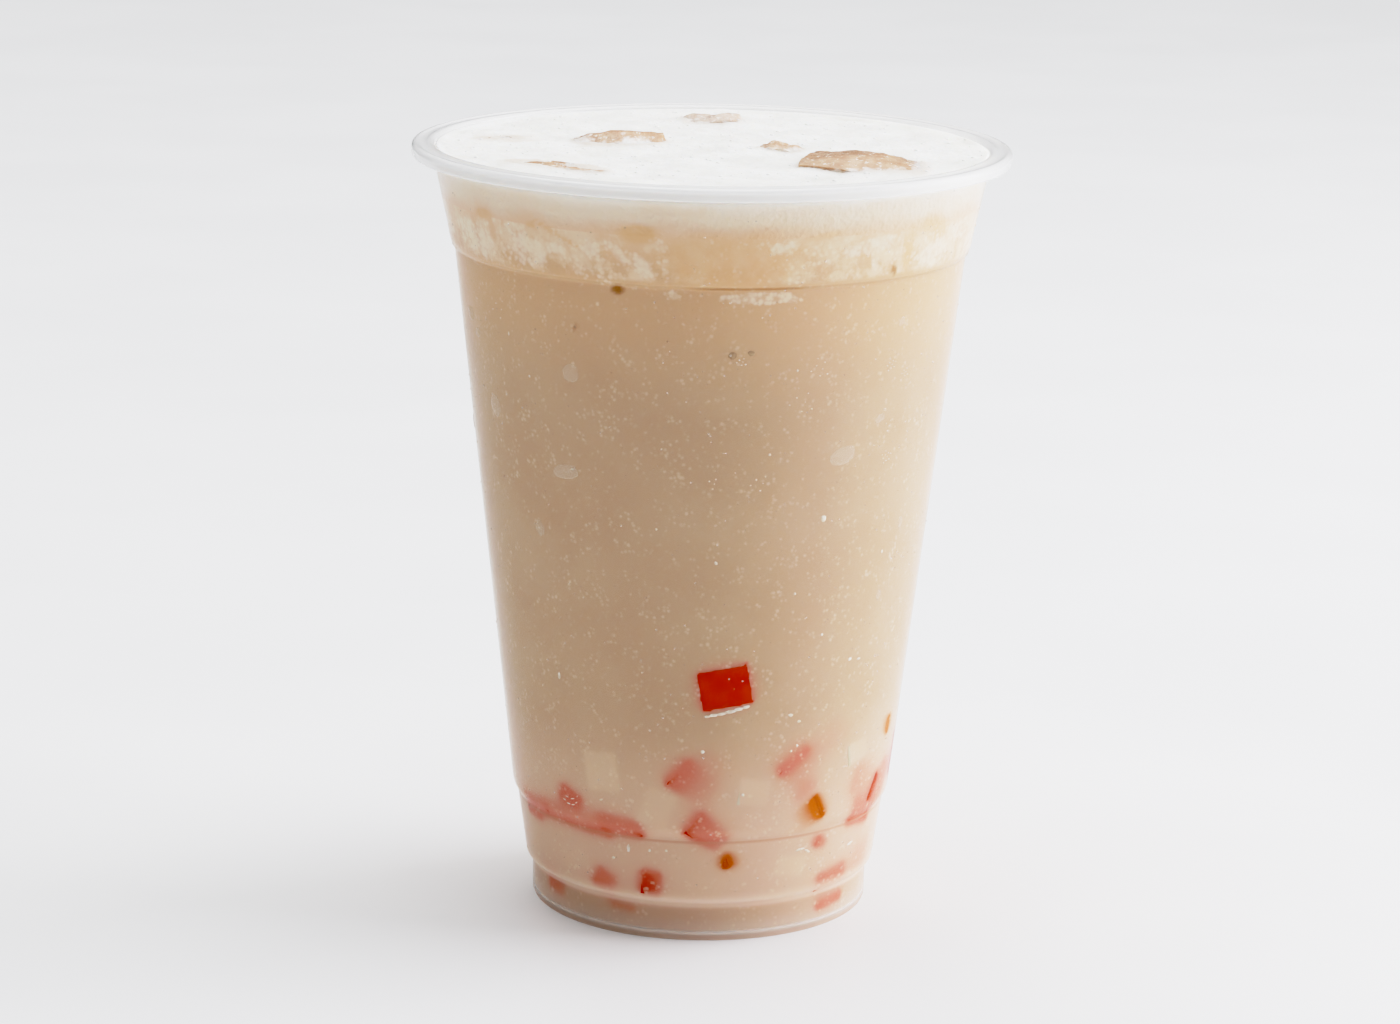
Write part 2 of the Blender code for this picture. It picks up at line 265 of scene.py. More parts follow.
def cup_plastic():
    """Clear plastic: the drink shows through its thin wall, and its thicker flange looks milky."""
    clear = (0.985, 0.985, 0.98)
    mat = finish_of("cup_plastic", clear, 0.18, IOR=1.1, Coat_Roughness=0.12, Subsurface_Weight=0.3,
                    Subsurface_Scale=1.0, Subsurface_Radius=(0.003, 0.003, 0.003))
    level = level_of(mat)
    # Painted light: the bottom 2 mm of plastic is made milky so that it reads lit where the dark contact
    # shade under the foot would show
    milky_foot_against_shade = share(mat, level, 0.8 * MM, 2.0 * MM, -0.85, 0.0)
    milky = share(mat, level, 118.4 * MM, 119.6 * MM, 0.995, FLANGE_CLEAR)
    thick = share(mat, level, 120.5 * MM, 121.3 * MM, 0.0, -0.2)
    shader_link(mat, "Transmission Weight", times(mat, times(mat, milky_foot_against_shade, milky, "ADD"), thick, "ADD"))
    shader_link(mat, "Coat Weight", share(mat, level, 118.4 * MM, 120.0 * MM, 0.0, 0.7))
    # Painted light: a tan tint on that milky bottom edge, over the contact shade
    foot_tint = share(mat, level, 0.7 * MM, 2.0 * MM)
    shader_link(mat, "Base Color", mixed(mat, foot_tint, (0.64, 0.46, 0.36), clear))
    shader_link(mat, "Roughness", share(mat, grain(mat, 9.0, 3.0), 0.3, 0.75, 0.12, 0.22))
    shader_link(mat, "Normal", relief(mat, grain(mat, 14.0, 2.0), 0.03, 0.5))
    return mat


def cup_outline():
    """The whole section of the cup, from under its floor, up the outside and down the inside."""
    ring = BASE_RADIUS - RING_WIDTH
    base = [(0.0, RECESS), (ring - RING_DRAFT - 0.2, RECESS), (ring - RING_DRAFT, RECESS - 0.2),
            (ring, 0.2), (ring + 0.2, 0.0), (BASE_RADIUS - 0.1, 0.0)]
    under = RIM_HEIGHT - SKIRT_THICKNESS
    skirt_foot = RIM_HEIGHT - SKIRT_DEPTH
    inside = RIM_RADIUS - SKIRT_THICKNESS
    neck = COLLAR_TOP_RADIUS
    skirt = [(neck + 0.15, under - 0.35), (neck + 0.4, under - 0.05), (neck + 0.8, under),
             (inside - 0.6, under)]
    skirt += arc(inside - 0.5, under - 0.5, 0.5, 90, 0, 4)
    skirt += [(inside, skirt_foot + 0.25)]
    skirt += arc(inside + 0.35, skirt_foot + 0.3, 0.3, 180, 360, 6)
    skirt += [(RIM_RADIUS - 0.02, skirt_foot + 0.5), (RIM_RADIUS - 0.08, skirt_foot + 0.8)]
    edge = arc(RIM_RADIUS - 0.75, RIM_HEIGHT - 0.75, 0.75, 0, 90, 8)
    flange = [(RIM_RADIUS - 1.0, RIM_HEIGHT - 0.05), (RIM_RADIUS - 1.2, RIM_HEIGHT - 0.15),
              (RIM_RADIUS - 1.6, RIM_HEIGHT - 0.19), (neck + 1.2, RIM_HEIGHT - 0.17),
              (neck + 0.85, RIM_HEIGHT - 0.06), (neck + 0.6, RIM_HEIGHT)]
    lip = arc(neck + 0.35, RIM_HEIGHT - 0.85, 0.85, 90, 165, 6)
    return base + OUTSIDE + skirt + edge + flange + lip + inside_outline(LIP_FOOT, 0.0)[::-1]


cup = placed("clear_cup", turned("clear_cup", cup_outline(), CUP_TURNS), cup_plastic())
cup.visible_shadow = False
cup.visible_diffuse = False
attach(cup, "root")
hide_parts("cup")


# The jelly. Firm fruit jelly cut into cubes of about 8 mm: red, orange and pale. The cubes that touch the
# wall show sharp, and the tea in front of the others leaves only their glow.

JELLY = 8.0
PROUD = 0.14
GUIDE_TOP = 100.0
GUIDE_TURNS = 440
# Flavour, azimuth and height of the touch point, where that point is on the cube (-1 to 1 along each
# side), turn, swing and tip, sink behind the wall, and sides as shares of a whole cube's
JELLY_AT_WALL = [
    ("red", 6.3, 42.6, (0, -1, 0), -10, 0, 0, -0.35, (0.96, 1.0, 0.78)),
    ("red", -6.9, 28.9, (-1, -1, 0), 38, 20, -4, -0.04, (1.00, 0.75, 0.74)),
    ("red", -2.4, 20.4, (-1, -1, 0), 36, 17, -2, -0.09, (0.84, 0.60, 0.60)),
    ("red", 27.6, 30.0, (-1, -1, 0), 52, 38, -2, -0.10, (0.60, 0.50, 0.82)),
    ("red", -15.5, 9.4, (0, -1, 0), 6, 4, 0, 0.05, (0.42, 0.75, 0.56)),
    ("red", -31.8, 8.7, (0, -1, 0), 26, 8, 0, 0.58, (0.52, 0.90, 0.52)),
    ("red", -36.0, 18.7, (0, -1, 0), 4, -4, 0, 1.15, (1.05, 0.90, 0.56)),
    ("red", 64.0, 21.8, (-1, -1, 0), 30, 20, 0, -0.38, (0.66, 0.60, 0.62)),
    ("red", 49.0, 8.3, (0, -1, 0), -10, 0, 0, 0.55, (0.85, 0.85, 0.44)),
    ("red", 40.4, 16.3, (-1, -1, 1), 24, 26, 0, -0.15, (0.36, 0.40, 0.26)),
    ("red", -57.5, 5.6, (0, -1, 0), 12, 8, 0, 0.60, (0.60, 0.85, 0.60)),
    ("red", 86.0, 24.5, (0, -1, 0), 10, 4, 0, -0.20, (0.70, 0.60, 0.90)),
    ("orange", 38.6, 21.6, (1, -1, 0), -28, -24, 0, -0.36, (0.70, 0.60, 0.56)),
    ("orange", 8.6, 12.6, (-1, -1, -1), 8, 38, -18, -0.70, (0.45, 0.42, 0.36)),
    ("orange", 71.0, 31.2, (1, -1, 0), 10, -36, 0, -0.30, (0.60, 0.60, 0.40)),
    ("pale", -30.0, 27.4, (0, -1, 0), -6, 0, 0, 0.10, (0.75, 0.90, 0.85)),
    ("pale", 16.0, 25.2, (0, -1, 0), 8, 4, 0, 0.15, (0.66, 0.50, 0.60)),
    ("pale", 52.5, 29.2, (0, -1, 0), -12, 6, 0, 0.15, (0.65, 0.80, 0.50)),
    ("pale", 30.8, 11.9, (0, -1, 0), 10, 0, 0, 0.12, (0.66, 0.55, 0.48)),
    ("red", 112.0, 18.0, (0, -1, 0), 22, 12, 0, -0.20, (0.90, 0.90, 0.90)),
    ("pale", 134.0, 26.0, (0, -1, 0), -15, 0, 0, -0.25, (0.85, 0.85, 0.80)),
    ("red", 155.0, 11.5, (-1, -1, 0), 30, 25, 0, -0.35, (0.85, 0.85, 0.85)),
    ("orange", 172.0, 27.5, (1, -1, 0), -28, -30, 0, -0.35, (0.75, 0.75, 0.75)),
    ("red", -168.0, 38.0, (0, -1, 0), 14, 0, 0, -0.30, (0.90, 0.90, 0.85)),
    ("red", -150.0, 19.5, (-1, -1, 0), 36, 24, 0, -0.35, (0.90, 0.90, 0.90)),
    ("pale", -128.0, 12.0, (0, -1, 0), 8, 4, 0, -0.25, (0.80, 0.80, 0.75)),
    ("red", -112.0, 25.0, (0, -1, 0), -20, 0, 0, -0.30, (0.90, 0.90, 0.90)),
    ("orange", -88.0, 14.5, (1, -1, 0), -18, -26, 0, -0.35, (0.75, 0.75, 0.75)),
]

# Wholly sunk cubes: the same row, with the depth behind the wall in place of the sink
JELLY_SUNK = [
    ("red", -42.3, 21.9, (0, -1, 0), 24, 0, 0, 0.30, (0.58, 0.40, 0.36)),
    ("red", -54.6, 18.4, (0, -1, 0), 20, 0, 0, 0.10, (0.15, 0.15, 0.18)),
    ("red", -51.0, 18.8, (0, -1, 0), -6, 0, 0, 1.00, (0.90, 0.60, 0.50)),
    ("red", -64.5, 17.8, (0, -1, 0), 0, 0, 0, 0.50, (0.70, 0.50, 0.60)),
    ("red", -24.5, 18.9, (0, -1, 0), 4, 0, 0, 0.60, (0.95, 0.50, 0.42)),
    ("red", -41.0, 17.0, (0, -1, 0), 4, 0, 0, 0.55, (0.90, 0.40, 0.16)),
    ("red", 57.0, 24.4, (0, -1, 0), 12, 8, 0, 1.50, (0.80, 0.50, 0.80)),
    ("red", 73.0, 22.6, (0, -1, 0), 28, 0, 0, 0.80, (0.60, 0.45, 0.80)),
    ("red", 66.0, 10.0, (0, -1, 0), 0, 0, 0, 1.60, (0.80, 0.50, 0.80)),
    ("red", 40.5, 33.0, (0, -1, 0), 40, 0, 0, 2.40, (0.70, 0.50, 0.90)),
    ("red", 2.2, 29.8, (0, -1, 0), 36, 0, 0, 2.30, (0.70, 0.50, 0.80)),
    ("red", -26.5, 4.6, (0, -1, 0), 6, 0, 0, 0.70, (0.60, 0.40, 0.16)),
    ("red", 51.5, 3.6, (0, -1, 0), -6, 0, 0, 0.20, (0.80, 0.35, 0.18)),
    ("red", 60.0, 18.4, (0, -1, 0), 8, 0, 0, 0.60, (0.90, 0.50, 0.60)),
    ("red", 32.6, 24.4, (0, -1, 0), 14, 0, 0, 1.15, (0.50, 0.50, 0.60)),
    ("pale", -12.8, 22.4, (0, -1, 0), 20, 0, 0, 0.30, (0.62, 0.60, 0.85)),
    ("pale", 3.0, 9.5, (0, -1, 0), 14, 0, 0, 0.70, (0.80, 0.60, 0.55)),
    ("pale", -44.0, 11.5, (0, -1, 0), -14, 0, 0, 0.70, (0.80, 0.60, 0.60)),
]


def wall_place(azimuth, height, inset=0.0):
    """A point on the inside of the wall, or set in from it."""
    radius = float(inner_radius(height)) - inset
    angle = math.radians(azimuth)
    return Vector((radius * math.sin(angle), -radius * math.cos(angle), height))


def jelly_pose(azimuth, height, touch, turn, swing, tip, sink, size):
    """Where a cube lies, so that its touch point (-1 to 1 along each side) meets the wall."""
    lean = math.atan2(TAPER_TOP_RADIUS - TAPER_FOOT_RADIUS, SHOULDER - TAPER_FOOT)
    spin = Matrix.Rotation(math.radians(azimuth), 3, "Z") @ Matrix.Rotation(lean, 3, "X")
    spin = spin @ Matrix.Rotation(math.radians(turn), 3, "Y") @ Matrix.Rotation(math.radians(swing), 3, "Z")
    spin = spin @ Matrix.Rotation(math.radians(tip), 3, "X")
    inward = Vector((-math.sin(math.radians(azimuth)), math.cos(math.radians(azimuth)), 0.0))
    corner = Vector([t * s / 2 for t, s in zip(touch, size)])
    return spin, wall_place(azimuth, height) - spin @ corner + inward * sink


def cut_cube(size, spin, centre, seed):
    """A cube of jelly with soft edges and slightly wavy cut faces."""
    made = bmesh.new()
    bmesh.ops.create_cube(made, size=1.0)
    bmesh.ops.scale(made, vec=size, verts=made.verts)
    bmesh.ops.bevel(made, geom=made.edges[:], offset=0.22, segments=2, affect="EDGES")
    bmesh.ops.subdivide_edges(made, edges=[e for e in made.edges if e.calc_length() > 1.5], cuts=5,
                              use_grid_fill=True)
    for vert in made.verts:
        wave = noise.noise(vert.co * 0.33 + Vector((seed * 5.3, 0.0, seed * 2.9)))
        vert.co *= 1.0 + 0.03 * wave
    bmesh.ops.transform(made, matrix=Matrix.Translation(centre) @ spin.to_4x4(), verts=made.verts)
    bmesh.ops.triangulate(made, faces=made.faces)
    return made


def joined(name, parts):
    """One mesh in metres out of several in millimetres."""
    whole = bmesh.new()
    for part in parts:
        piece = bpy.data.meshes.new("part")
        part.to_mesh(piece)
        part.free()
        whole.from_mesh(piece)
        bpy.data.meshes.remove(piece)
    bmesh.ops.scale(whole, vec=(MM, MM, MM), verts=whole.verts)
    mesh = bpy.data.meshes.new(name)
    whole.to_mesh(mesh)
    whole.free()
    return mesh


def trimmed(mesh, guide):
    """A mesh cut off where it leaves the inside of the cup."""
    holder = bpy.data.objects.new("holder", mesh)
    bpy.context.scene.collection.objects.link(holder)
    cut = holder.modifiers.new("Inside", "BOOLEAN")
    cut.operation = "INTERSECT"
    cut.solver = "MANIFOLD"
    cut.object = guide
    graph = bpy.context.evaluated_depsgraph_get()
    made = bpy.data.meshes.new_from_object(holder.evaluated_get(graph))
    bpy.data.objects.remove(holder)
    return made


def fruit_jelly(name, colour, deep, glow):
    """Fruit jelly: clear, firm and wet, deeper in colour where a cube is thick."""
    mat = finish_of(name, colour, 0.22, Specular_IOR_Level=0.06, Subsurface_Weight=0.35,
                    Subsurface_Scale=1.0, Subsurface_Radius=glow)
    shader_link(mat, "Base Color", mottled(mat, deep, colour, 3.2, 0.3, 0.7, 3.0))
    shader_link(mat, "Roughness", share(mat, grain(mat, 0.9), 0.3, 0.7, 0.16, 0.3))
    shader_link(mat, "Normal", relief(mat, grain(mat, 1.1, 3.0), 0.05, 0.6))
    return mat


JELLY_LOOKS = {
    "red": fruit_jelly("red_fruit_jelly", (0.51, 0.056, 0.003), (0.45, 0.036, 0.002),
                       (0.003, 0.0004, 0.0001)),
    "orange": fruit_jelly("orange_fruit_jelly", (0.52, 0.14, 0.015), (0.46, 0.10, 0.010),
                          (0.003, 0.0010, 0.0002)),
    "pale": fruit_jelly("pale_fruit_jelly", (0.68, 0.58, 0.40), (0.60, 0.49, 0.32), (0.003, 0.003, 0.002)),
}
guide_outline = inside_outline(GUIDE_TOP, PROUD)
guide_outline += [(float(inner_radius(GUIDE_TOP)) + PROUD, GUIDE_TOP), (0.0, GUIDE_TOP)]
guide_mesh = turned("jelly_guide", guide_outline, GUIDE_TURNS)
jelly_guide = bpy.data.objects.new("jelly_guide", guide_mesh)
bpy.context.scene.collection.objects.link(jelly_guide)

cubes = []
for flavour, material in JELLY_LOOKS.items():
    parts = []
    for number, row in enumerate(JELLY_AT_WALL + JELLY_SUNK):
        kind, azimuth, height, touch, turn, swing, tip, sink, shares = row
        if kind != flavour:
            continue
        size = Vector([JELLY * s for s in shares])
        spin, centre = jelly_pose(azimuth, height, touch, turn, swing, tip, sink, size)
        cubes.append((flavour, spin, centre, size))
        parts.append(cut_cube(size, spin, centre, number))
    mesh = joined(flavour, parts)
    jelly = placed(flavour + "_jelly_cubes", trimmed(mesh, jelly_guide), material)
    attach(jelly, "root")
    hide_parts(*[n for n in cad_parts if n.startswith(flavour + "_jelly_")])
bpy.data.objects.remove(jelly_guide)


# The ice. Melting lumps, rounded and wet, stained by the tea. Six break through the froth and four lie
# against the wall under it.

ICE_CUTS = 20
ICE_SINK = 0.3
VEIL_HEIGHT = 121.0
TOP_ICE = [
    ((-14.3, 4.5, 116.3), (14.0, 9.0, 11.0), (3, -4, 4)),
    ((0.2, 30.2, 116.2), (9.6, 8.6, 10.8), (-4, -5, 6)),
    ((23.0, -15.9, 115.6), (20.5, 14.6, 12.6), (3, 5, -14)),
    ((-23.3, -22.4, 116.4), (17.5, 5.4, 9.4), (2, 0, -28)),
    ((-32.4, 6.2, 116.2), (9.4, 7.0, 8.8), (0, 0, 12)),
    ((10.4, 0.6, 116.6), (6.6, 5.0, 9.6), (0, 5, -20)),
]
# Froth that veils the ice: place, how far it reaches, strength
ICE_VEILS = [
    (-12.0, 0.6, 3.6, 0.95), (-20.5, 3.0, 2.5, 0.6), (33.0, -17.5, 4.0, 0.8), (0.0, 30.0, 7.0, 0.30),
]
WALL_ICE = [
    (5.0, 109.9, (20.0, 11.0, 8.6), (0, 4, 0)),
    (-17.0, 112.4, (6.5, 6.0, 4.2), (4, -10, 6)),
    (140.0, 109.0, (14.0, 9.0, 8.0), (0, -6, 8)),
    (-130.0, 109.2, (12.0, 9.0, 7.5), (5, 7, 0)),
]


def ice_lump(place, size, turn, seed, top):
    """One lump: a rounded block with dents, and fine hollows where it melts."""
    made = bmesh.new()
    bmesh.ops.create_cube(made, size=1.0)
    bmesh.ops.subdivide_edges(made, edges=made.edges[:], cuts=ICE_CUTS, use_grid_fill=True)
    spin = Matrix.Translation(place)
    for angle, axis in zip(reversed(turn), "ZYX"):
        spin = spin @ Matrix.Rotation(math.radians(angle), 4, axis)
    shift = Vector((seed * 7.1, seed * 3.3, 0.0))
    for vert in made.verts:
        ball = vert.co.normalized() * 0.62
        vert.co = vert.co.lerp(ball, 0.45)
        vert.co *= 1.0 + 0.16 * noise.noise(vert.co * 2.3 + shift)
        vert.co = Vector([c * s for c, s in zip(vert.co, size)])
        fine = noise.noise(vert.co * 0.9 + shift) * 0.22 + noise.noise(vert.co * 2.4 + shift) * 0.10
        vert.co += vert.co.normalized() * fine
    bmesh.ops.transform(made, matrix=spin, verts=made.verts)
    for vert in made.verts:
        vert.co.z = min(vert.co.z, top)
        reach = math.hypot(vert.co.x, vert.co.y)
        most = float(inner_radius(vert.co.z)) - ICE_SINK
        if reach > most:
            vert.co.x *= most / reach
            vert.co.y *= most / reach
    return made


def wet_ice():
    """Melting ice soaked with tea: tan, wet and full of tiny bubbles, under a veil of froth in places."""
    mat = finish_of("wet_ice", (0.50, 0.34, 0.23), 0.12, IOR=1.33, Subsurface_Weight=0.4,
                    Subsurface_Scale=1.0, Subsurface_Radius=(0.003, 0.002, 0.0014))
    body = mottled(mat, (0.45, 0.265, 0.165), (0.60, 0.405, 0.28), 2.6, 0.35, 0.7, 4.0, 0.6)
    froth_bits = share(mat, grain(mat, 0.9, 5.0, 0.75), 0.56, 0.66)
    body = mixed(mat, froth_bits, body, (0.84, 0.76, 0.67))
    for x, y, across, strength in ICE_VEILS:
        middle = (x * MM, y * MM, VEIL_HEIGHT * MM)
        reach = add(mat, "ShaderNodeVectorMath", {0: place_of(mat), 1: middle}, operation="DISTANCE")
        uneven = share(mat, grain(mat, 1.2, 3.0), 0.2, 0.8, -1.2 * MM, 1.2 * MM)
        ragged = times(mat, reach.outputs["Value"], uneven, "ADD")
        veil = share(mat, ragged, across * 0.45 * MM, across * MM, strength, 0.0)
        body = mixed(mat, veil, body, (0.88, 0.84, 0.80))
    uneven = share(mat, grain(mat, 1.6, 3.0), 0.25, 0.75, -0.3 * MM, 0.3 * MM)
    level = times(mat, level_of(mat), uneven, "ADD")
    body = mixed(mat, share(mat, level, 120.9 * MM, 121.5 * MM, 0.75, 0.0), body, (0.90, 0.86, 0.82))
    shader_link(mat, "Base Color", body)
    shader_link(mat, "Roughness", share(mat, froth_bits, 0.0, 1.0, 0.08, 0.35))
    shader_link(mat, "Normal", relief(mat, grain(mat, 0.7, 3.0, 0.6), 0.25, 0.8))
    return mat


lumps = []
wet = wet_ice()
ice_top = cad_box[1].z / MM - 0.02
for place, size, turn in TOP_ICE:
    lumps.append((Vector(place), size, turn))
for azimuth, height, size, turn in WALL_ICE:
    middle = wall_place(azimuth, height, size[1] / 2 - 1.2)
    lumps.append((middle, size, (turn[0], turn[1], turn[2] + azimuth)))
groups = {"ice_in_froth": range(0, len(TOP_ICE)), "ice_at_wall": range(len(TOP_ICE), len(lumps))}
for name, members in groups.items():
    ice = placed(name, joined(name, [ice_lump(*lumps[i], i + 1, ice_top) for i in members]), wet, 60.0)
    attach(ice, "root")
    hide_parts(*["ice_%d" % (i + 1) for i in members])


# The milk tea. Black tea with milk, cloudy and beige, poured round the jelly and the ice. Jelly a little
# way behind the wall glows through it, and froth and melting ice mottle it in the collar.

TEA_TOP = 113.6
TEA_TURNS = 440
HAIR = 0.1
GLOW_REACH = 8.0
GLOW_SETBACK = 0.3
GLOW_SPREAD = 1.0
GLOW_RAYS = 72
GLOW_FADE = {"red": 2.3, "orange": 1.7, "pale": 1.6}

PATCH_RADIUS = 40.5
PATCH_REACH = 1.35
PATCH_SOFT = 0.7
COLLAR_TEA = (0.79, 0.52, 0.335)
# Painted shade: dark lines where the wall bends, for its shade and refraction there: height, strength, colour
WALL_CREASE_SHADE = [
    (106.0, 0.35, (0.42, 0.25, 0.13)), (16.9, 0.55, (0.56, 0.27, 0.18)),
    (5.25, 0.15, (0.50, 0.29, 0.18)),
]

# Pale froth against the wall: azimuth, height, half width, half height, tilt, strength
FROTH_PATCHES = [
    (-60.0, 109.6, 6.5, 2.6, -8, 0.9), (-41.9, 109.5, 4.0, 2.3, 0, 1.0), (-34.1, 110.5, 1.7, 0.9, 0, 1.0),
    (-25.8, 111.2, 1.7, 1.4, 0, 0.9), (-19.4, 110.7, 2.6, 1.0, -35, 1.0),
    (-14.5, 109.0, 2.6, 1.3, -35, 1.0), (-9.3, 109.4, 0.7, 1.4, 0, 0.7), (15.5, 112.2, 2.3, 1.1, 10, 1.0),
    (27.2, 110.7, 0.6, 0.9, 0, 0.8), (35.3, 111.7, 5.0, 1.3, 8, 1.0), (56.1, 109.2, 4.4, 2.2, 10, 0.9),
    (37.3, 108.4, 0.7, 0.6, 0, 0.8), (11.4, 104.3, 6.2, 1.0, 0, 1.0), (-8.1, 104.5, 1.2, 0.8, 0, 0.9),
    (-24.4, 102.3, 1.2, 0.7, 20, 0.4), (-48.0, 113.0, 4.0, 1.2, 0, 0.6), (66.0, 112.0, 5.0, 2.0, 0, 0.7),
    (78.0, 109.0, 4.0, 2.0, 0, 0.7), (-50.0, 110.5, 9.0, 3.0, 0, 0.45),
    (-26.0, 109.5, 6.0, 3.0, -20, 0.40), (47.0, 110.5, 12.0, 2.6, 0, 0.40),
    (24.0, 111.0, 5.0, 2.2, 0, 0.35), (-10.4, 110.4, 1.0, 3.2, 0, 0.45),
    (18.5, 108.6, 2.2, 2.4, 10, 0.30), (-78.0, 110.0, 4.0, 2.0, 0, 0.7), (-95.0, 111.0, 5.0, 2.0, 0, 0.9),
    (-118.0, 109.0, 5.5, 1.8, 6, 0.9), (-150.0, 110.5, 5.0, 2.0, -8, 0.9),
    (-172.0, 109.0, 4.5, 1.6, 0, 0.9), (160.0, 111.0, 5.5, 1.8, 8, 0.9), (125.0, 110.0, 4.5, 1.6, 0, 0.9),
    (100.0, 110.5, 5.0, 2.0, -6, 0.9),
]
AMBER_PATCHES = [
    (-14.8, 113.9, 3.0, 1.5, 0, 1.0), (5.0, 110.2, 10.2, 4.4, 0, 0.75), (-4.5, 109.5, 1.8, 1.9, 0, 0.9),
    (-54.8, 113.9, 2.1, 1.0, 0, 0.9), (54.6, 113.1, 4.0, 2.0, -20, 0.6), (46.4, 110.3, 1.2, 3.4, 0, 0.6),
    (-33.0, 112.6, 4.5, 0.35, -25, 0.8), (-40.0, 113.6, 0.9, 0.5, 0, 0.8),
    (24.0, 113.8, 3.4, 0.5, 10, 0.5), (140.0, 109.0, 6.5, 4.0, 0, 0.6), (-130.0, 109.2, 5.5, 3.8, 0, 0.6),
]
# Dark patches on the tea; the thin one along the shoulder and the small one under it are painted shade of the
# bend
DARK_AND_SHADE_PATCHES = [
    (-20.1, 105.0, 1.0, 0.75, 0, 1.0), (43.0, 107.4, 0.45, 0.9, 12, 0.8),
    (9.0, 105.75, 8.6, 0.16, 0, 0.75), (79.5, 113.9, 0.7, 0.7, 0, 0.9), (-30.9, 98.5, 0.4, 0.4, 0, 0.5),
]


def tea_outline():
    """The section of the tea: fine rows where jelly or froth shows, wider rows between."""
    rows = np.concatenate([np.arange(1.7, 46.0, 0.42), np.arange(46.2, 102.0, 0.95),
                           np.arange(102.2, TEA_TOP - 0.1, 0.36)])
    corner = [(r, z) for r, z in inside_outline(1.65, HAIR) if r > 0.0]
    sides = [(float(inner_radius(z)) + HAIR, float(z)) for z in rows]
    floor_rings = [(r, FLOOR - HAIR) for r in (0.0, 8.0, 16.0)]
    top_rings = [(r, TEA_TOP) for r in (34.0, 24.0, 12.0, 0.0)]
    return floor_rings + corner + sides + [(float(inner_radius(TEA_TOP)) + HAIR, TEA_TOP)] + top_rings


def round_places(mesh):
    """Azimuth, height and radius of every point of a round mesh, in degrees and millimetres."""
    points = np.empty(len(mesh.vertices) * 3)
    mesh.vertices.foreach_get("co", points)
    points = points.reshape(-1, 3) / MM
    return points, np.degrees(np.arctan2(points[:, 0], -points[:, 1])), np.hypot(points[:, 0], points[:, 1])


def jelly_glow(points):
    """How much of each flavour shows at points on the wall, by looking inwards along many rays."""
    glow = {flavour: np.zeros(len(points)) for flavour in JELLY_LOOKS}
    turn = math.pi * (3.0 - math.sqrt(5.0))
    ray = np.arange(GLOW_RAYS) + 0.5
    spread = GLOW_SPREAD * np.sqrt(ray / GLOW_RAYS)
    local = np.stack([spread * np.cos(ray * turn), spread * np.sin(ray * turn),
                      np.sqrt(1 - spread ** 2)], 1)
    nearest = np.full((len(points), GLOW_RAYS), np.inf)
    owner = np.full((len(points), GLOW_RAYS), -1)
    across = np.hypot(points[:, 0], points[:, 1])[:, None] + 1e-9
    inward = np.concatenate([-points[:, :2] / across, np.zeros((len(points), 1))], 1)
    aside = np.stack([-inward[:, 1], inward[:, 0], np.zeros(len(points))], 1)
    upward = np.array([0.0, 0.0, 1.0])
    for number, (flavour, spin, centre, size) in enumerate(cubes):
        offset = points - inward * GLOW_SETBACK - np.array(centre)
        close = np.linalg.norm(offset, axis=1) < size.length / 2 + GLOW_REACH
        frame_turn = np.array(spin)
        start = (offset[close] @ frame_turn)[:, None, :]
        rays = (aside[close][:, None, :] * local[None, :, 0:1] + upward * local[None, :, 1:2]
                + inward[close][:, None, :] * local[None, :, 2:3]) @ frame_turn
        rays[np.abs(rays) < 1e-9] = 1e-9
        half = np.array(size) / 2
        first = (-half - start) / rays
        last = (half - start) / rays
        enter = np.minimum(first, last).max(2)
        leave = np.maximum(first, last).min(2)
        hit = (leave > np.maximum(enter, 0.0))
        depth = np.where(hit, np.maximum(enter, 0.0), np.inf)
        held = nearest[close]
        names = owner[close]
        names[depth < held] = number
        nearest[close] = np.minimum(held, depth)
        owner[close] = names
    flavours = np.array([flavour for flavour, *rest in cubes] + ["none"])
    for flavour, amount in glow.items():
        mine = flavours[owner] == flavour
        amount[:] = np.where(mine, np.exp(-np.where(mine, nearest, 0.0) / GLOW_FADE[flavour]), 0.0).mean(1)
    return glow


def patches(azimuth, height, rows):
    """The strength of soft-edged patches at points on the wall."""
    total = np.zeros(len(azimuth))
    for middle, level, half_width, half_height, tilt, strength in rows:
        across = (azimuth - middle + 180.0) % 360.0 - 180.0
        across = np.radians(across) * PATCH_RADIUS
        along = height - level
        angle = math.radians(tilt)
        u = (across * math.cos(angle) + along * math.sin(angle)) / half_width
        v = (-across * math.sin(angle) + along * math.cos(angle)) / half_height
        reach = np.clip((PATCH_REACH - np.sqrt(u * u + v * v)) / PATCH_SOFT, 0.0, 1.0)
        total = np.maximum(total, strength * reach * reach * (3 - 2 * reach))
    return total


def give(mesh, name, values):
    """Keep one number for each point of a mesh, for its material to read."""
    numbers = np.asarray(values, dtype=np.float32)
    mesh.attributes.new(name, "FLOAT", "POINT").data.foreach_set("value", numbers)


def kept(mat, name):
    """A number kept on the mesh."""
    return add(mat, "ShaderNodeAttribute", attribute_name=name).outputs["Fac"]


def cells(mat, size):
    """How far a point lies from the middle of its cell, for cells of a size in millimetres."""
    inputs = {"Vector": place_of(mat), "Scale": 1.0 / (size * MM)}
    return add(mat, "ShaderNodeTexVoronoi", inputs).outputs["Distance"]


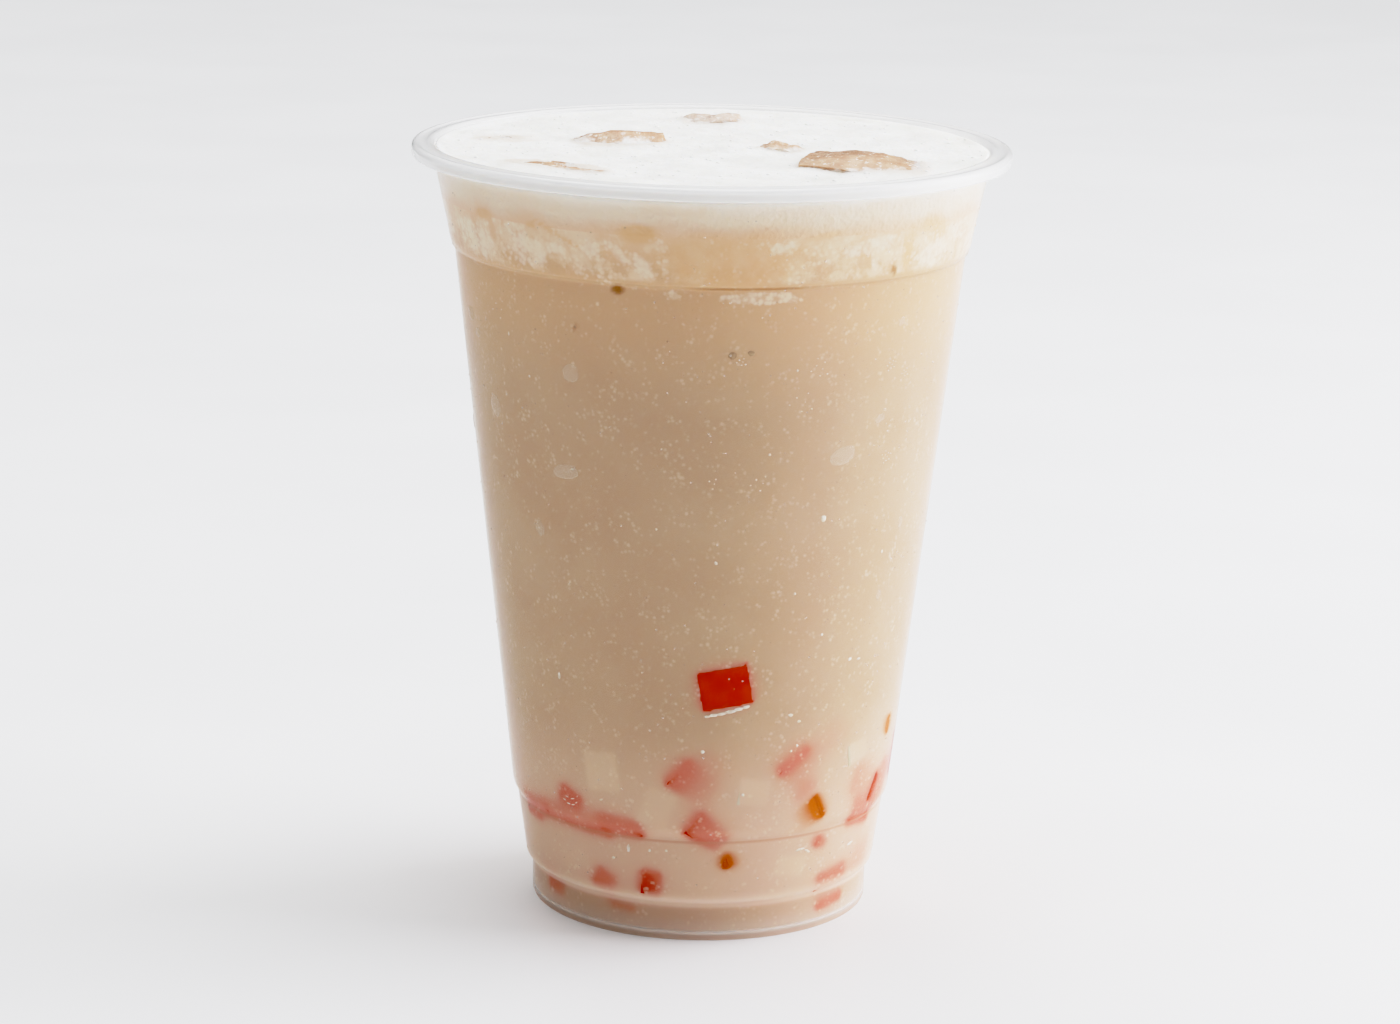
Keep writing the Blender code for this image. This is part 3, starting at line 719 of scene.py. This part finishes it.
def drink_colour(mat):
    """Beige tea, with the glow of jelly, amber melting ice, dark patches, pale froth, painted light and
    shade.
    """
    tea = mottled(mat, (0.535, 0.362, 0.240), (0.565, 0.392, 0.264), 16.0, 0.3, 0.7, 3.0)
    level = level_of(mat)
    tea = mixed(mat, share(mat, level, 18.0 * MM, 40.0 * MM, 1.0, 0.0), tea, (0.70, 0.47, 0.34))
    tea = mixed(mat, share(mat, level, 84.0 * MM, 107.0 * MM), tea, (0.66, 0.42, 0.26))
    tea = mixed(mat, share(mat, level, 106.0 * MM, 113.6 * MM), tea, COLLAR_TEA)
    # The foot band: darker than the tea above, partly from the thicker plastic and partly painted shade near
    # the floor, and lighter and greyer towards its bottom, painted bounce light from the floor
    foot = mixed(mat, share(mat, level, 1.4 * MM, 4.2 * MM), (0.62, 0.47, 0.375), (0.58, 0.385, 0.27))
    # Painted light: a pale band at the very bottom, over the contact shade
    foot = mixed(mat, share(mat, level, 0.9 * MM, 1.7 * MM), (0.97, 0.80, 0.68), foot)
    tea = mixed(mat, share(mat, level, 4.7 * MM, 5.3 * MM, 0.8, 0.0), tea, foot)
    motes = share(mat, grain(mat, 0.5, 2.0, 0.6), 0.66, 0.80, 0.0, 0.05)
    tea = mixed(mat, motes, tea, (0.74, 0.62, 0.48))
    tea = mixed(mat, share(mat, kept(mat, "pale_glow"), 0.10, 0.95, 0.0, 0.8), tea, (0.78, 0.57, 0.40))
    tea = mixed(mat, share(mat, kept(mat, "orange_glow"), 0.03, 0.50), tea, (0.52, 0.13, 0.02))
    red = kept(mat, "red_glow")
    tea = mixed(mat, share(mat, red, 0.0, 0.52), tea, (0.62, 0.205, 0.145))
    tea = mixed(mat, share(mat, red, 0.52, 0.82), tea, (0.50, 0.050, 0.010))
    collar = share(mat, level, 106.2 * MM, 107.2 * MM)
    swirls = times(mat, collar, share(mat, grain(mat, 4.5, 5.0, 0.65), 0.40, 0.62, 0.0, 0.75))
    tea = mixed(mat, swirls, tea, (0.85, 0.66, 0.46))
    amber = times(mat, kept(mat, "amber"), share(mat, grain(mat, 5.0, 2.0), 0.25, 0.6, 0.75, 1.0))
    tea = mixed(mat, amber, tea, (0.76, 0.46, 0.26))
    crumbs = share(mat, cells(mat, 0.8), 0.15, 0.75, 0.30, -0.30)
    clusters = times(mat, kept(mat, "froth"), crumbs, "ADD")
    uneven = share(mat, grain(mat, 2.2, 4.0, 0.65), 0.3, 0.7, -0.45, 0.25)
    clusters = times(mat, clusters, uneven, "ADD")
    tea = mixed(mat, share(mat, clusters, 0.0, 1.1, 0.0, 0.7), tea, (0.90, 0.76, 0.58))
    # Painted shade lines just under the bends of the wall
    for crease, strength, colour in WALL_CREASE_SHADE:
        below = share(mat, level, (crease - 0.55) * MM, (crease - 0.1) * MM)
        line = times(mat, below, share(mat, level, crease * MM, (crease + 0.2) * MM, strength, 0.0))
        tea = mixed(mat, line, tea, colour)
    # Dark patches, those at the shoulder painted shade
    tea = mixed(mat, kept(mat, "dark"), tea, (0.36, 0.17, 0.06))
    # Painted highlight: a lighter band on the bend of the heel
    heel = share(mat, level, 5.2 * MM, 5.8 * MM)
    heel = times(mat, heel, share(mat, level, 6.4 * MM, 8.6 * MM, 0.7, 0.0))
    tea = mixed(mat, heel, tea, (0.84, 0.62, 0.48))
    return tea


def milk_tea_finish():
    """Cloudy milk tea. Light goes a few millimetres into it."""
    mat = finish_of("cloudy_milk_tea", (0.53, 0.37, 0.22), 0.35, Specular_IOR_Level=0.0,
                    Subsurface_Scale=1.0, Subsurface_Radius=(0.004, 0.003, 0.002))
    shader_link(mat, "Base Color", drink_colour(mat))
    shader_link(mat, "Subsurface Weight", share(mat, level_of(mat), 112.0 * MM, 113.2 * MM, 0.5, 0.0))
    shader_link(mat, "Roughness", share(mat, grain(mat, 3.0), 0.3, 0.7, 0.3, 0.45))
    return mat


tea_mesh = turned("milk_tea", tea_outline(), TEA_TURNS)
points, azimuths, reaches = round_places(tea_mesh)
low = (points[:, 2] < 52.0) & (reaches > 20.0)
for flavour, amount in jelly_glow(points[low]).items():
    whole = np.zeros(len(points))
    whole[low] = amount
    give(tea_mesh, flavour + "_glow", whole)
give(tea_mesh, "froth", patches(azimuths, points[:, 2], FROTH_PATCHES))
give(tea_mesh, "amber", patches(azimuths, points[:, 2], AMBER_PATCHES))
give(tea_mesh, "dark", patches(azimuths, points[:, 2], DARK_AND_SHADE_PATCHES))
tea_body = placed("milk_tea_body", tea_mesh, milk_tea_finish(), 50.0)
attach(tea_body, "root")
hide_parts("milk_tea")


# The froth. Shaken milk foam, white and thick, level with the lip, with ice standing through it. Through
# the collar its lower part looks cream.

FROTH_TOP = 120.9
FROTH_RELIEF = 0.45
FROTH_TURNS = 300
STAIN_REACH = 6.0
STAIN_FADE = 0.8


def froth_outline():
    """The section of the froth, with close rings over its top."""
    foot = TEA_TOP - 0.1
    edge = float(inner_radius(FROTH_TOP))
    sides = [(float(inner_radius(z)) + HAIR, float(z)) for z in np.linspace(foot, FROTH_TOP - 0.2, 16)]
    rings = [(float(r), FROTH_TOP) for r in np.linspace(edge - 0.1, 0.0, 130)]
    return [(0.0, foot), (20.0, foot), (36.0, foot)] + sides + rings


def froth_finish():
    """Milk foam: white and soft on top, stained near the ice, cream where the cup's collar covers it."""
    mat = finish_of("milk_froth", (0.87, 0.86, 0.81), 0.6, Specular_IOR_Level=0.25,
                    Subsurface_Scale=1.0, Subsurface_Radius=(0.0035, 0.003, 0.0022))
    wash = share(mat, grain(mat, 7.0, 4.0, 0.6), 0.35, 0.7)
    foam = mixed(mat, wash, (0.84, 0.83, 0.78), (0.90, 0.90, 0.87))
    tops = cells(mat, 0.8)
    foam = mixed(mat, share(mat, tops, 0.5, 0.8, 0.0, 0.25), foam, (0.72, 0.68, 0.60))
    level = level_of(mat)
    uneven = times(mat, level, share(mat, grain(mat, 6.0, 3.0), 0.3, 0.7, -0.5 * MM, 0.5 * MM), "ADD")
    collar = mixed(mat, share(mat, uneven, 113.4 * MM, 116.8 * MM), COLLAR_TEA, (0.84, 0.69, 0.52))
    collar = mixed(mat, share(mat, uneven, 116.6 * MM, 120.0 * MM), collar, (0.90, 0.84, 0.74))
    amber = times(mat, kept(mat, "amber"), share(mat, grain(mat, 5.0, 2.0), 0.25, 0.6, 0.55, 1.0))
    collar = mixed(mat, amber, collar, (0.74, 0.43, 0.225))
    foam = mixed(mat, kept(mat, "side"), foam, collar)
    foam = mixed(mat, share(mat, kept(mat, "stain"), 0.1, 1.0, 0.0, 0.6), foam, (0.62, 0.48, 0.36))
    shader_link(mat, "Base Color", foam)
    shader_link(mat, "Subsurface Weight", share(mat, level, 113.9 * MM, 115.4 * MM, 0.0, 0.5))
    shader_link(mat, "Roughness", share(mat, wash, 0.0, 1.0, 0.5, 0.75))
    bubbles = relief(mat, tops, 0.12, 0.6)
    shader_link(mat, "Normal", relief(mat, grain(mat, 2.2, 4.0, 0.6), 0.35, 0.7, bubbles))
    return mat


froth_mesh = turned("froth", froth_outline(), FROTH_TURNS)
points, azimuths, reaches = round_places(froth_mesh)
edge = float(inner_radius(FROTH_TOP))
lump_trees = []
for i in range(len(TOP_ICE)):
    lump = ice_lump(*lumps[i], i + 1, ice_top)
    lump_trees.append(BVHTree.FromBMesh(lump))
    lump.free()
stain = np.zeros(len(points))
for i, vert in enumerate(froth_mesh.vertices):
    if points[i, 2] < FROTH_TOP - 0.01:
        continue
    here = vert.co / MM
    near = min(tree.find_nearest(here, STAIN_REACH)[3] or STAIN_REACH for tree in lump_trees)
    stain[i] = math.exp(-near / STAIN_FADE)
    inner = reaches[i] < edge - 0.5
    lump_height = noise.noise(Vector((vert.co.x, vert.co.y, 0.0)) * 130.0) if inner else 0.0
    small = noise.noise(Vector((here.x, here.y, 3.0)) * 0.45) * 0.16 + noise.noise(here * 1.3) * 0.07
    rim = max(0.0, 1.0 - (edge - reaches[i]) / 1.2) if reaches[i] < edge + 0.05 else 1.0
    vert.co.z += (FROTH_RELIEF * lump_height + small * (1.0 - rim) + 0.3 * rim + 0.35 * stain[i]) * MM
give(froth_mesh, "stain", stain)
side = points[:, 2] < FROTH_TOP - 0.05
give(froth_mesh, "side", side)
give(froth_mesh, "amber", patches(azimuths, points[:, 2], AMBER_PATCHES) * side)
froth = placed("milk_froth_cap", froth_mesh, froth_finish(), 50.0)
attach(froth, "root")
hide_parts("froth")


# Froth and crumbs at the wall. Bits of foam and milk skin that cling to the inside of the plastic, thin and
# pressed flat, among them the line of foam caught under the highest cube.

WALL_PROUD = 0.17
BIT_SIDES = 14
BIT_RINGS = 4
# Each row: azimuth, height, half width, half height, tilt
FOAM_LINE = [
    (1.6, 38.0, 0.7, 0.30, 6), (3.4, 38.25, 1.0, 0.38, 7), (5.6, 38.45, 1.1, 0.36, 8),
    (7.9, 38.8, 1.2, 0.40, 9), (10.2, 39.15, 1.1, 0.42, 9), (12.3, 39.5, 0.8, 0.36, 10),
]
CRUMBS = [
    (30.4, 69.2, 0.60, 0.85, 6), (-43.1, 41.8, 0.36, 0.85, -4), (2.9, 62.9, 0.32, 0.42, 20),
    (-22.5, 14.9, 0.42, 0.95, 0), (0.5, 32.2, 0.42, 0.42, 0), (12.6, 24.9, 0.36, 0.40, 0),
    (26.5, 31.6, 0.30, 0.26, 0), (28.3, 32.4, 0.26, 0.34, 30), (-28.0, 12.9, 0.45, 0.30, 20),
    (-15.5, 15.0, 0.30, 0.34, 0), (-10.2, 15.2, 0.32, 0.30, 0), (44.0, 45.3, 0.55, 0.35, 10),
    (47.6, 45.0, 0.60, 0.30, 0), (25.5, 37.6, 0.65, 0.36, -10), (28.3, 36.4, 0.42, 0.30, 0),
    (33.2, 50.3, 0.30, 0.34, 0), (-30.5, 22.6, 0.5, 0.22, 20), (57.0, 12.9, 1.2, 0.30, 10),
    (33.5, 14.4, 1.3, 0.30, 8), (36.5, 13.9, 0.9, 0.28, -30), (-12.0, 68.0, 0.26, 0.30, 0),
    (-34.0, 76.0, 0.30, 0.26, 0), (15.0, 80.0, 0.26, 0.30, 0), (-52.0, 95.5, 0.24, 0.42, 10),
    (-45.6, 89.5, 0.26, 0.32, 30), (20.5, 93.0, 0.24, 0.26, 0), (24.0, 57.5, 0.26, 0.30, 0),
    (52.0, 62.0, 0.30, 0.42, 8), (120.0, 60.0, 0.42, 0.60, 0), (-140.0, 74.0, 0.36, 0.70, 8),
    (165.0, 44.0, 0.42, 0.42, 0), (-100.0, 52.0, 0.36, 0.55, 0),
]
LEFT_RING = [
    (-44.8, 21.1, 0.50, 0.13, -24), (-43.2, 20.6, 0.55, 0.14, -6), (-41.3, 20.6, 0.55, 0.12, 10),
    (-39.9, 21.1, 0.36, 0.12, 34), (-41.4, 21.6, 0.60, 0.11, 16), (-43.6, 21.7, 0.42, 0.10, -12),
    (-39.4, 22.2, 0.28, 0.10, 60),
]
# Specks of foam in loose clumps: azimuth, height, how wide, how many
SPECK_CLUMPS = [
    (46.6, 92.3, 1.1, 9), (52.2, 90.6, 0.9, 6), (48.9, 77.5, 1.2, 10), (48.0, 82.5, 1.0, 4),
    (7.4, 94.6, 0.8, 6), (26.0, 93.0, 1.8, 7), (1.5, 75.5, 1.0, 4), (13.0, 75.5, 1.6, 5),
    (22.0, 88.0, 2.4, 7), (-55.0, 99.0, 2.0, 5),
]
SPECKS = []
for azimuth, height, wide, count in SPECK_CLUMPS:
    for k in range(count):
        angle, reach = 2.4 * k, wide * math.sqrt((k + 0.5) / count)
        SPECKS.append((azimuth + 1.5 * reach * math.cos(angle), height + reach * math.sin(angle),
                       0.13 + 0.05 * (k % 3), 0.12 + 0.04 * (k % 2), 0))


def dome_ring(made, row, count, out, side, rise, waves):
    """One ring of points of a dome at the wall, a share of the way out to its wavy edge."""
    azimuth, height, half_width, half_height, tilt = row
    tilt = math.radians(tilt)
    swell, pitch, shift = waves
    verts = []
    for k in range(count):
        angle = 2 * math.pi * k / count
        wave = 1.0 + swell * noise.noise(Vector((math.cos(angle), math.sin(angle), 0.0)) * pitch + shift)
        u = half_width * out * math.cos(angle) * wave
        v = half_height * out * math.sin(angle) * wave
        level = height + u * math.sin(tilt) + v * math.cos(tilt)
        radius = float(side(level)) + rise
        around = math.radians(azimuth) + (u * math.cos(tilt) - v * math.sin(tilt)) / radius
        verts.append(made.verts.new((radius * math.sin(around), -radius * math.cos(around), level)))
    return verts


def skinned(made, rings, sides):
    """Faces between the rings of a dome. A ring of one point is its tip or the middle of its back."""
    for low, high in zip(rings, rings[1:]):
        for k in range(sides):
            j = (k + 1) % sides
            if len(low) == 1:
                made.faces.new((low[0], high[k], high[j]))
            elif len(high) == 1:
                made.faces.new((low[k], low[j], high[0]))
            else:
                made.faces.new((low[k], low[j], high[j], high[k]))


def pressed_bits(name, rows, thickness, seed):
    """Flat domes on the inside of the wall."""
    made = bmesh.new()
    for number, row in enumerate(rows):
        waves = (0.30, 1.4, Vector((seed + number * 1.7, 0.0, 0.0)))
        rings = []
        for ring in range(BIT_RINGS, -1, -1):
            out = ring / BIT_RINGS
            rise = WALL_PROUD - thickness * out ** 3
            rings.append(dome_ring(made, row, BIT_SIDES if ring else 1, out, inner_radius, rise, waves))
        middle = sum((vert.co for vert in rings[0]), Vector()) / BIT_SIDES
        back = made.verts.new(middle * Vector((0.97, 0.97, 1.0)))
        skinned(made, [[back]] + rings, BIT_SIDES)
    bmesh.ops.recalc_face_normals(made, faces=made.faces)
    return joined(name, [made])


def foam_crumb():
    """Pressed foam: cream white and matt."""
    mat = finish_of("wall_foam", (0.84, 0.76, 0.63), 0.5, Specular_IOR_Level=0.1, Subsurface_Weight=0.4,
                    Subsurface_Radius=(0.002, 0.0016, 0.001))
    foam = mottled(mat, (0.74, 0.62, 0.47), (0.88, 0.82, 0.72), 0.6, 0.35, 0.7, 3.0)
    shader_link(mat, "Base Color", foam)
    shader_link(mat, "Normal", relief(mat, grain(mat, 0.4, 2.0), 0.08, 0.6))
    return mat


bits_mesh = pressed_bits("foam_at_wall", FOAM_LINE + CRUMBS + LEFT_RING + SPECKS, 0.2, 3.0)
bits = placed("foam_at_wall", bits_mesh, foam_crumb(), 60.0)
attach(bits, "root")


# The two bubbles. Bubbles of air held against the wall, darker than the tea, with two small ones near them.

BUBBLES = [
    (5.4, 95.6, 0.98, 0.90, 0), (9.6, 95.9, 0.82, 0.70, 0), (-31.0, 98.5, 0.34, 0.34, 0),
    (-9.0, 97.5, 0.26, 0.24, 0),
]


def air_bubble():
    """The skin of a bubble at the wall: a mottled brown, darker than the tea."""
    mat = finish_of("air_bubble", (0.40, 0.27, 0.17), 0.35, Specular_IOR_Level=0.0)
    skin = mottled(mat, (0.37, 0.25, 0.155), (0.44, 0.305, 0.19), 1.2, 0.35, 0.65)
    shader_link(mat, "Base Color", skin)
    return mat


bubble_mesh = pressed_bits("bubbles_at_wall", BUBBLES, 0.25, 11.0)
bubbles = placed("bubbles_at_wall", bubble_mesh, air_bubble(), 60.0)
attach(bubbles, "root")


# The bubbles of the foam. The froth's top is covered with small domes of milk foam, from pinheads to a
# few of over a millimetre near the ice.

def scatter_tree(name, material):
    """Geometry nodes that strew flattened round bodies over a surface, in clumps, smallest ones most."""
    tree = bpy.data.node_groups.new(name, "GeometryNodeTree")
    tree.interface.new_socket("Geometry", in_out="INPUT", socket_type="NodeSocketGeometry")
    sockets = {}
    for label in ("Density", "Smallest", "Largest", "Flatness", "Clump", "Seed"):
        kind = "NodeSocketInt" if label == "Seed" else "NodeSocketFloat"
        sockets[label] = tree.interface.new_socket(label, in_out="INPUT", socket_type=kind).identifier
    tree.interface.new_socket("Geometry", in_out="OUTPUT", socket_type="NodeSocketGeometry")

    given = node_in(tree, "NodeGroupInput").outputs
    clumps = node_in(tree, "ShaderNodeTexNoise", {"Scale": given["Clump"]}).outputs["Fac"]
    spread = node_in(tree, "ShaderNodeMapRange", {"Value": clumps, "From Min": 0.35, "From Max": 0.68})
    density = node_in(tree, "ShaderNodeMath", {0: spread.outputs["Result"], 1: given["Density"]},
                      operation="MULTIPLY")
    points = node_in(tree, "GeometryNodeDistributePointsOnFaces",
                     {"Mesh": given["Geometry"], "Density": density.outputs[0], "Seed": given["Seed"]})
    chance = node_in(tree, "FunctionNodeRandomValue", {"Seed": given["Seed"]}, data_type="FLOAT")
    rare = node_in(tree, "ShaderNodeMath", {0: chance.outputs[1], 1: 5.0}, operation="POWER").outputs[0]
    range_of_sizes = {"Value": rare, "To Min": given["Smallest"], "To Max": given["Largest"]}
    size = node_in(tree, "ShaderNodeMapRange", range_of_sizes).outputs["Result"]
    flat = node_in(tree, "ShaderNodeMath", {0: size, 1: given["Flatness"]}, operation="MULTIPLY")
    scale = node_in(tree, "ShaderNodeCombineXYZ", {"X": size, "Y": size, "Z": flat.outputs[0]})
    body = node_in(tree, "GeometryNodeMeshIcoSphere", {"Radius": 1.0, "Subdivisions": 2})
    strewn = node_in(tree, "GeometryNodeInstanceOnPoints",
                     {"Points": points.outputs["Points"], "Instance": body.outputs["Mesh"],
                      "Rotation": points.outputs["Rotation"], "Scale": scale.outputs[0]})
    real = node_in(tree, "GeometryNodeRealizeInstances", {"Geometry": strewn.outputs["Instances"]})
    finish = node_in(tree, "GeometryNodeSetMaterial",
                     {"Geometry": real.outputs["Geometry"], "Material": material})
    node_in(tree, "NodeGroupOutput", {"Geometry": finish.outputs["Geometry"]})
    return tree, sockets


def strewn_over(name, host, material, **values):
    """An object of small bodies strewn over a host mesh, made plain."""
    tree, sockets = scatter_tree(name, material)
    holder = bpy.data.objects.new(name + "_host", host)
    bpy.context.scene.collection.objects.link(holder)
    modifier = holder.modifiers.new("Strew", "NODES")
    modifier.node_group = tree
    for label, value in values.items():
        modifier[sockets[label]] = value
    graph = bpy.context.evaluated_depsgraph_get()
    mesh = bpy.data.meshes.new_from_object(holder.evaluated_get(graph))
    holder.modifiers.remove(modifier)
    bpy.data.objects.remove(holder)
    return placed(name, mesh, material, 180.0)


def part_of(mesh, keep):
    """A copy of the faces of a mesh whose middle passes a test, in millimetres."""
    made = bmesh.new()
    made.from_mesh(mesh)
    gone = [face for face in made.faces if not keep(face.calc_center_median() / MM)]
    bmesh.ops.delete(made, geom=gone, context="FACES")
    kept_mesh = bpy.data.meshes.new("host")
    made.to_mesh(kept_mesh)
    made.free()
    return kept_mesh


def foam_bubble_finish():
    """Bubbles of milk foam: white, thin and a little glossy."""
    mat = finish_of("foam_bubbles", (0.88, 0.87, 0.83), 0.4, Specular_IOR_Level=0.3)
    white = mottled(mat, (0.88, 0.87, 0.83), (0.93, 0.93, 0.91), 1.5, 0.35, 0.65)
    shader_link(mat, "Base Color", white)
    return mat


froth_top = part_of(froth_mesh, lambda m: m.z > FROTH_TOP - 0.6 and m.xy.length < edge - 0.4)
foam = strewn_over("foam_bubbles", froth_top, foam_bubble_finish(), Density=4.0e5, Smallest=0.00008,
                   Largest=0.00040, Flatness=0.55, Clump=90.0, Seed=4)
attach(foam, "root")


# The condensation. Fine water drops that have formed on the cold outside of the plastic, with a few large
# ones that have run together. Rows as for the bits at the wall.

DROP_SIDES = 24
DROP_RINGS = 6
DROPS = [
    (-60.0, 83.3, 1.5, 1.7, -6), (-32.5, 91.3, 1.5, 1.4, 30), (33.9, 79.0, 2.5, 1.4, 12),
    (-35.7, 75.5, 2.4, 1.2, 8), (44.3, 84.1, 1.1, 0.7, 15), (-70.0, 96.6, 1.2, 1.2, 0),
    (-66.5, 94.0, 0.7, 0.8, 0), (-45.4, 65.5, 0.9, 1.3, 10), (48.0, 99.0, 0.8, 0.7, 0),
    (58.0, 66.0, 0.6, 1.0, 0), (52.0, 55.0, 0.6, 0.9, 0), (-88.5, 77.0, 0.9, 1.5, 0),
    (91.0, 55.0, 0.9, 1.8, 0), (-89.5, 103.0, 0.5, 0.7, 0), (-93.0, 91.0, 0.5, 0.9, 0),
    (110.0, 70.0, 1.2, 1.9, 0), (150.0, 90.0, 1.5, 1.2, 20), (-120.0, 60.0, 1.1, 1.8, 0),
    (-160.0, 84.0, 1.6, 1.3, 0), (175.0, 62.0, 1.0, 1.7, 0), (130.0, 38.0, 0.9, 1.2, 0),
    (-105.0, 98.0, 1.1, 0.9, 0),
]


def water(name, colour, clear, ior):
    """Water in drops. Fine drops look a little milky, large ones are clear."""
    mat = finish_of(name, colour, 0.03, Transmission_Weight=clear, IOR=ior)
    shader_link(mat, "Roughness", share(mat, grain(mat, 0.8), 0.3, 0.7, 0.02, 0.08))
    return mat


def large_drops(rows):
    """Low domes of water with uneven edges, on the outside of the wall."""
    made = bmesh.new()
    for number, row in enumerate(rows):
        waves = (0.22, 1.1, Vector((number * 2.3, 0.0, 5.0)))
        depth = 0.26 * min(row[2], row[3])
        rings = []
        for ring in range(DROP_RINGS + 1):
            lean = math.radians(90.0 * ring / DROP_RINGS)
            rise = math.cos(lean) * depth - 0.04
            rings.append(dome_ring(made, row, DROP_SIDES if ring else 1, math.sin(lean), outer_radius, rise,
                                   waves))
        skinned(made, rings, DROP_SIDES)
        made.faces.new(rings[-1])
    bmesh.ops.recalc_face_normals(made, faces=made.faces)
    return joined("large_drops", [made])


fine_water = water("fine_condensation", (0.98, 0.90, 0.83), 0.80, 1.2)
still_water = water("still_water", (0.97, 0.95, 0.92), 0.94, 1.08)
wall_band = part_of(cup.data, lambda m: 8.0 < m.z < 118.0 and m.xy.length > outer_radius(m.z) - 0.3)
mist = strewn_over("fine_condensation", wall_band, fine_water, Density=2.2e5, Smallest=0.00005,
                   Largest=0.00019, Flatness=0.55, Clump=75.0, Seed=9)
drops = placed("large_condensation", large_drops(DROPS), still_water, 60.0)
for piece in (mist, drops):
    piece.visible_shadow = False
    piece.visible_diffuse = False
    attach(piece, "root")


# The floor, the light and the camera. A plain pale floor, one wide soft light at the right and a weaker one
# above, and pale light all round.

floor_mesh = bpy.data.meshes.new("studio_floor")
FLOOR_HALF = 4.0
FLOOR_DROP = -0.0001
corners = ((-1, -1), (1, -1), (1, 1), (-1, 1))
floor_mesh.from_pydata([(x * FLOOR_HALF, y * FLOOR_HALF, FLOOR_DROP) for x, y in corners], [], [(0, 1, 2, 3)])
floor_finish = finish_of("studio_floor", (0.84, 0.845, 0.86), 0.45, Specular_IOR_Level=0.3)
floor_colour = mottled(floor_finish, (0.79, 0.795, 0.81), (0.83, 0.835, 0.85), 90.0, 0.3, 0.7, 3.0)
shader_link(floor_finish, "Base Color", floor_colour)
studio_floor = placed("studio_floor", floor_mesh, floor_finish)


def soft_light(name, place, aim, size, power, colour=(1.0, 1.0, 1.0)):
    """A square soft light that looks at a point."""
    lamp = bpy.data.lights.new(name, "AREA")
    lamp.size = size
    lamp.energy = power
    lamp.color = colour
    obj = bpy.data.objects.new(name, lamp)
    obj.location = place
    obj.rotation_euler = (Vector(aim) - Vector(place)).to_track_quat("-Z", "Y").to_euler()
    bpy.context.scene.collection.objects.link(obj)


soft_light("right_light", (0.85, 0.12, 0.42), (0.0, 0.0, 0.06), 0.8, 13.6, (0.985, 0.985, 1.05))
soft_light("top_light", (0.1, 0.6, 2.6), (0.0, 0.3, 0.0), 3.2, 124.0)

world = bpy.data.worlds.new("pale_room")
bpy.context.scene.world = world
world.use_nodes = True
world.node_tree.nodes["Background"].inputs["Color"].default_value = (0.95, 0.97, 1.0, 1.0)
world.node_tree.nodes["Background"].inputs["Strength"].default_value = 0.135

# The picture's tone: deep at the dark end, and easing off towards white
BRIGHTEST = 3.0
view = bpy.context.scene.view_settings
view.view_transform = "Standard"
view.use_curve_mapping = True
tone = view.curve_mapping
tone.white_level = (BRIGHTEST, BRIGHTEST, BRIGHTEST)
tone.extend = "HORIZONTAL"
TONE = [
    (0.03, 0.001), (0.06, 0.02), (0.1, 0.075), (0.2, 0.2), (0.4, 0.43), (0.7, 0.66), (1.0, 0.775),
    (1.5, 0.865), (2.0, 0.91),
]
curve = tone.curves[3]
for bright, shown in TONE:
    curve.points.new(bright / BRIGHTEST, shown)
curve.points[-1].location = (1.0, 0.97)
tone.update()

# The camera's turn, as fitted to the ellipses of the rim and the foot
PITCH = math.radians(13.351)
YAW = math.radians(-0.075)
ROLL = math.radians(1.061)
ahead = Vector((math.sin(YAW) * math.cos(PITCH), math.cos(YAW) * math.cos(PITCH), -math.sin(PITCH)))
level_right = Vector((math.cos(YAW), -math.sin(YAW), 0.0))
level_up = level_right.cross(ahead)
right = math.cos(ROLL) * level_right + math.sin(ROLL) * level_up
above = -math.sin(ROLL) * level_right + math.cos(ROLL) * level_up
camera_data = bpy.data.cameras.new("camera")
camera_data.lens = 105.75
camera_data.sensor_width = 36.0
camera_data.sensor_fit = "HORIZONTAL"
camera_data.clip_start = 0.01
camera = bpy.data.objects.new("camera", camera_data)
camera_turn = Matrix((right, above, -ahead)).transposed().to_4x4()
camera.matrix_world = Matrix.Translation((0.0, -0.6367, 0.2137)) @ camera_turn
bpy.context.scene.collection.objects.link(camera)
bpy.context.scene.camera = camera
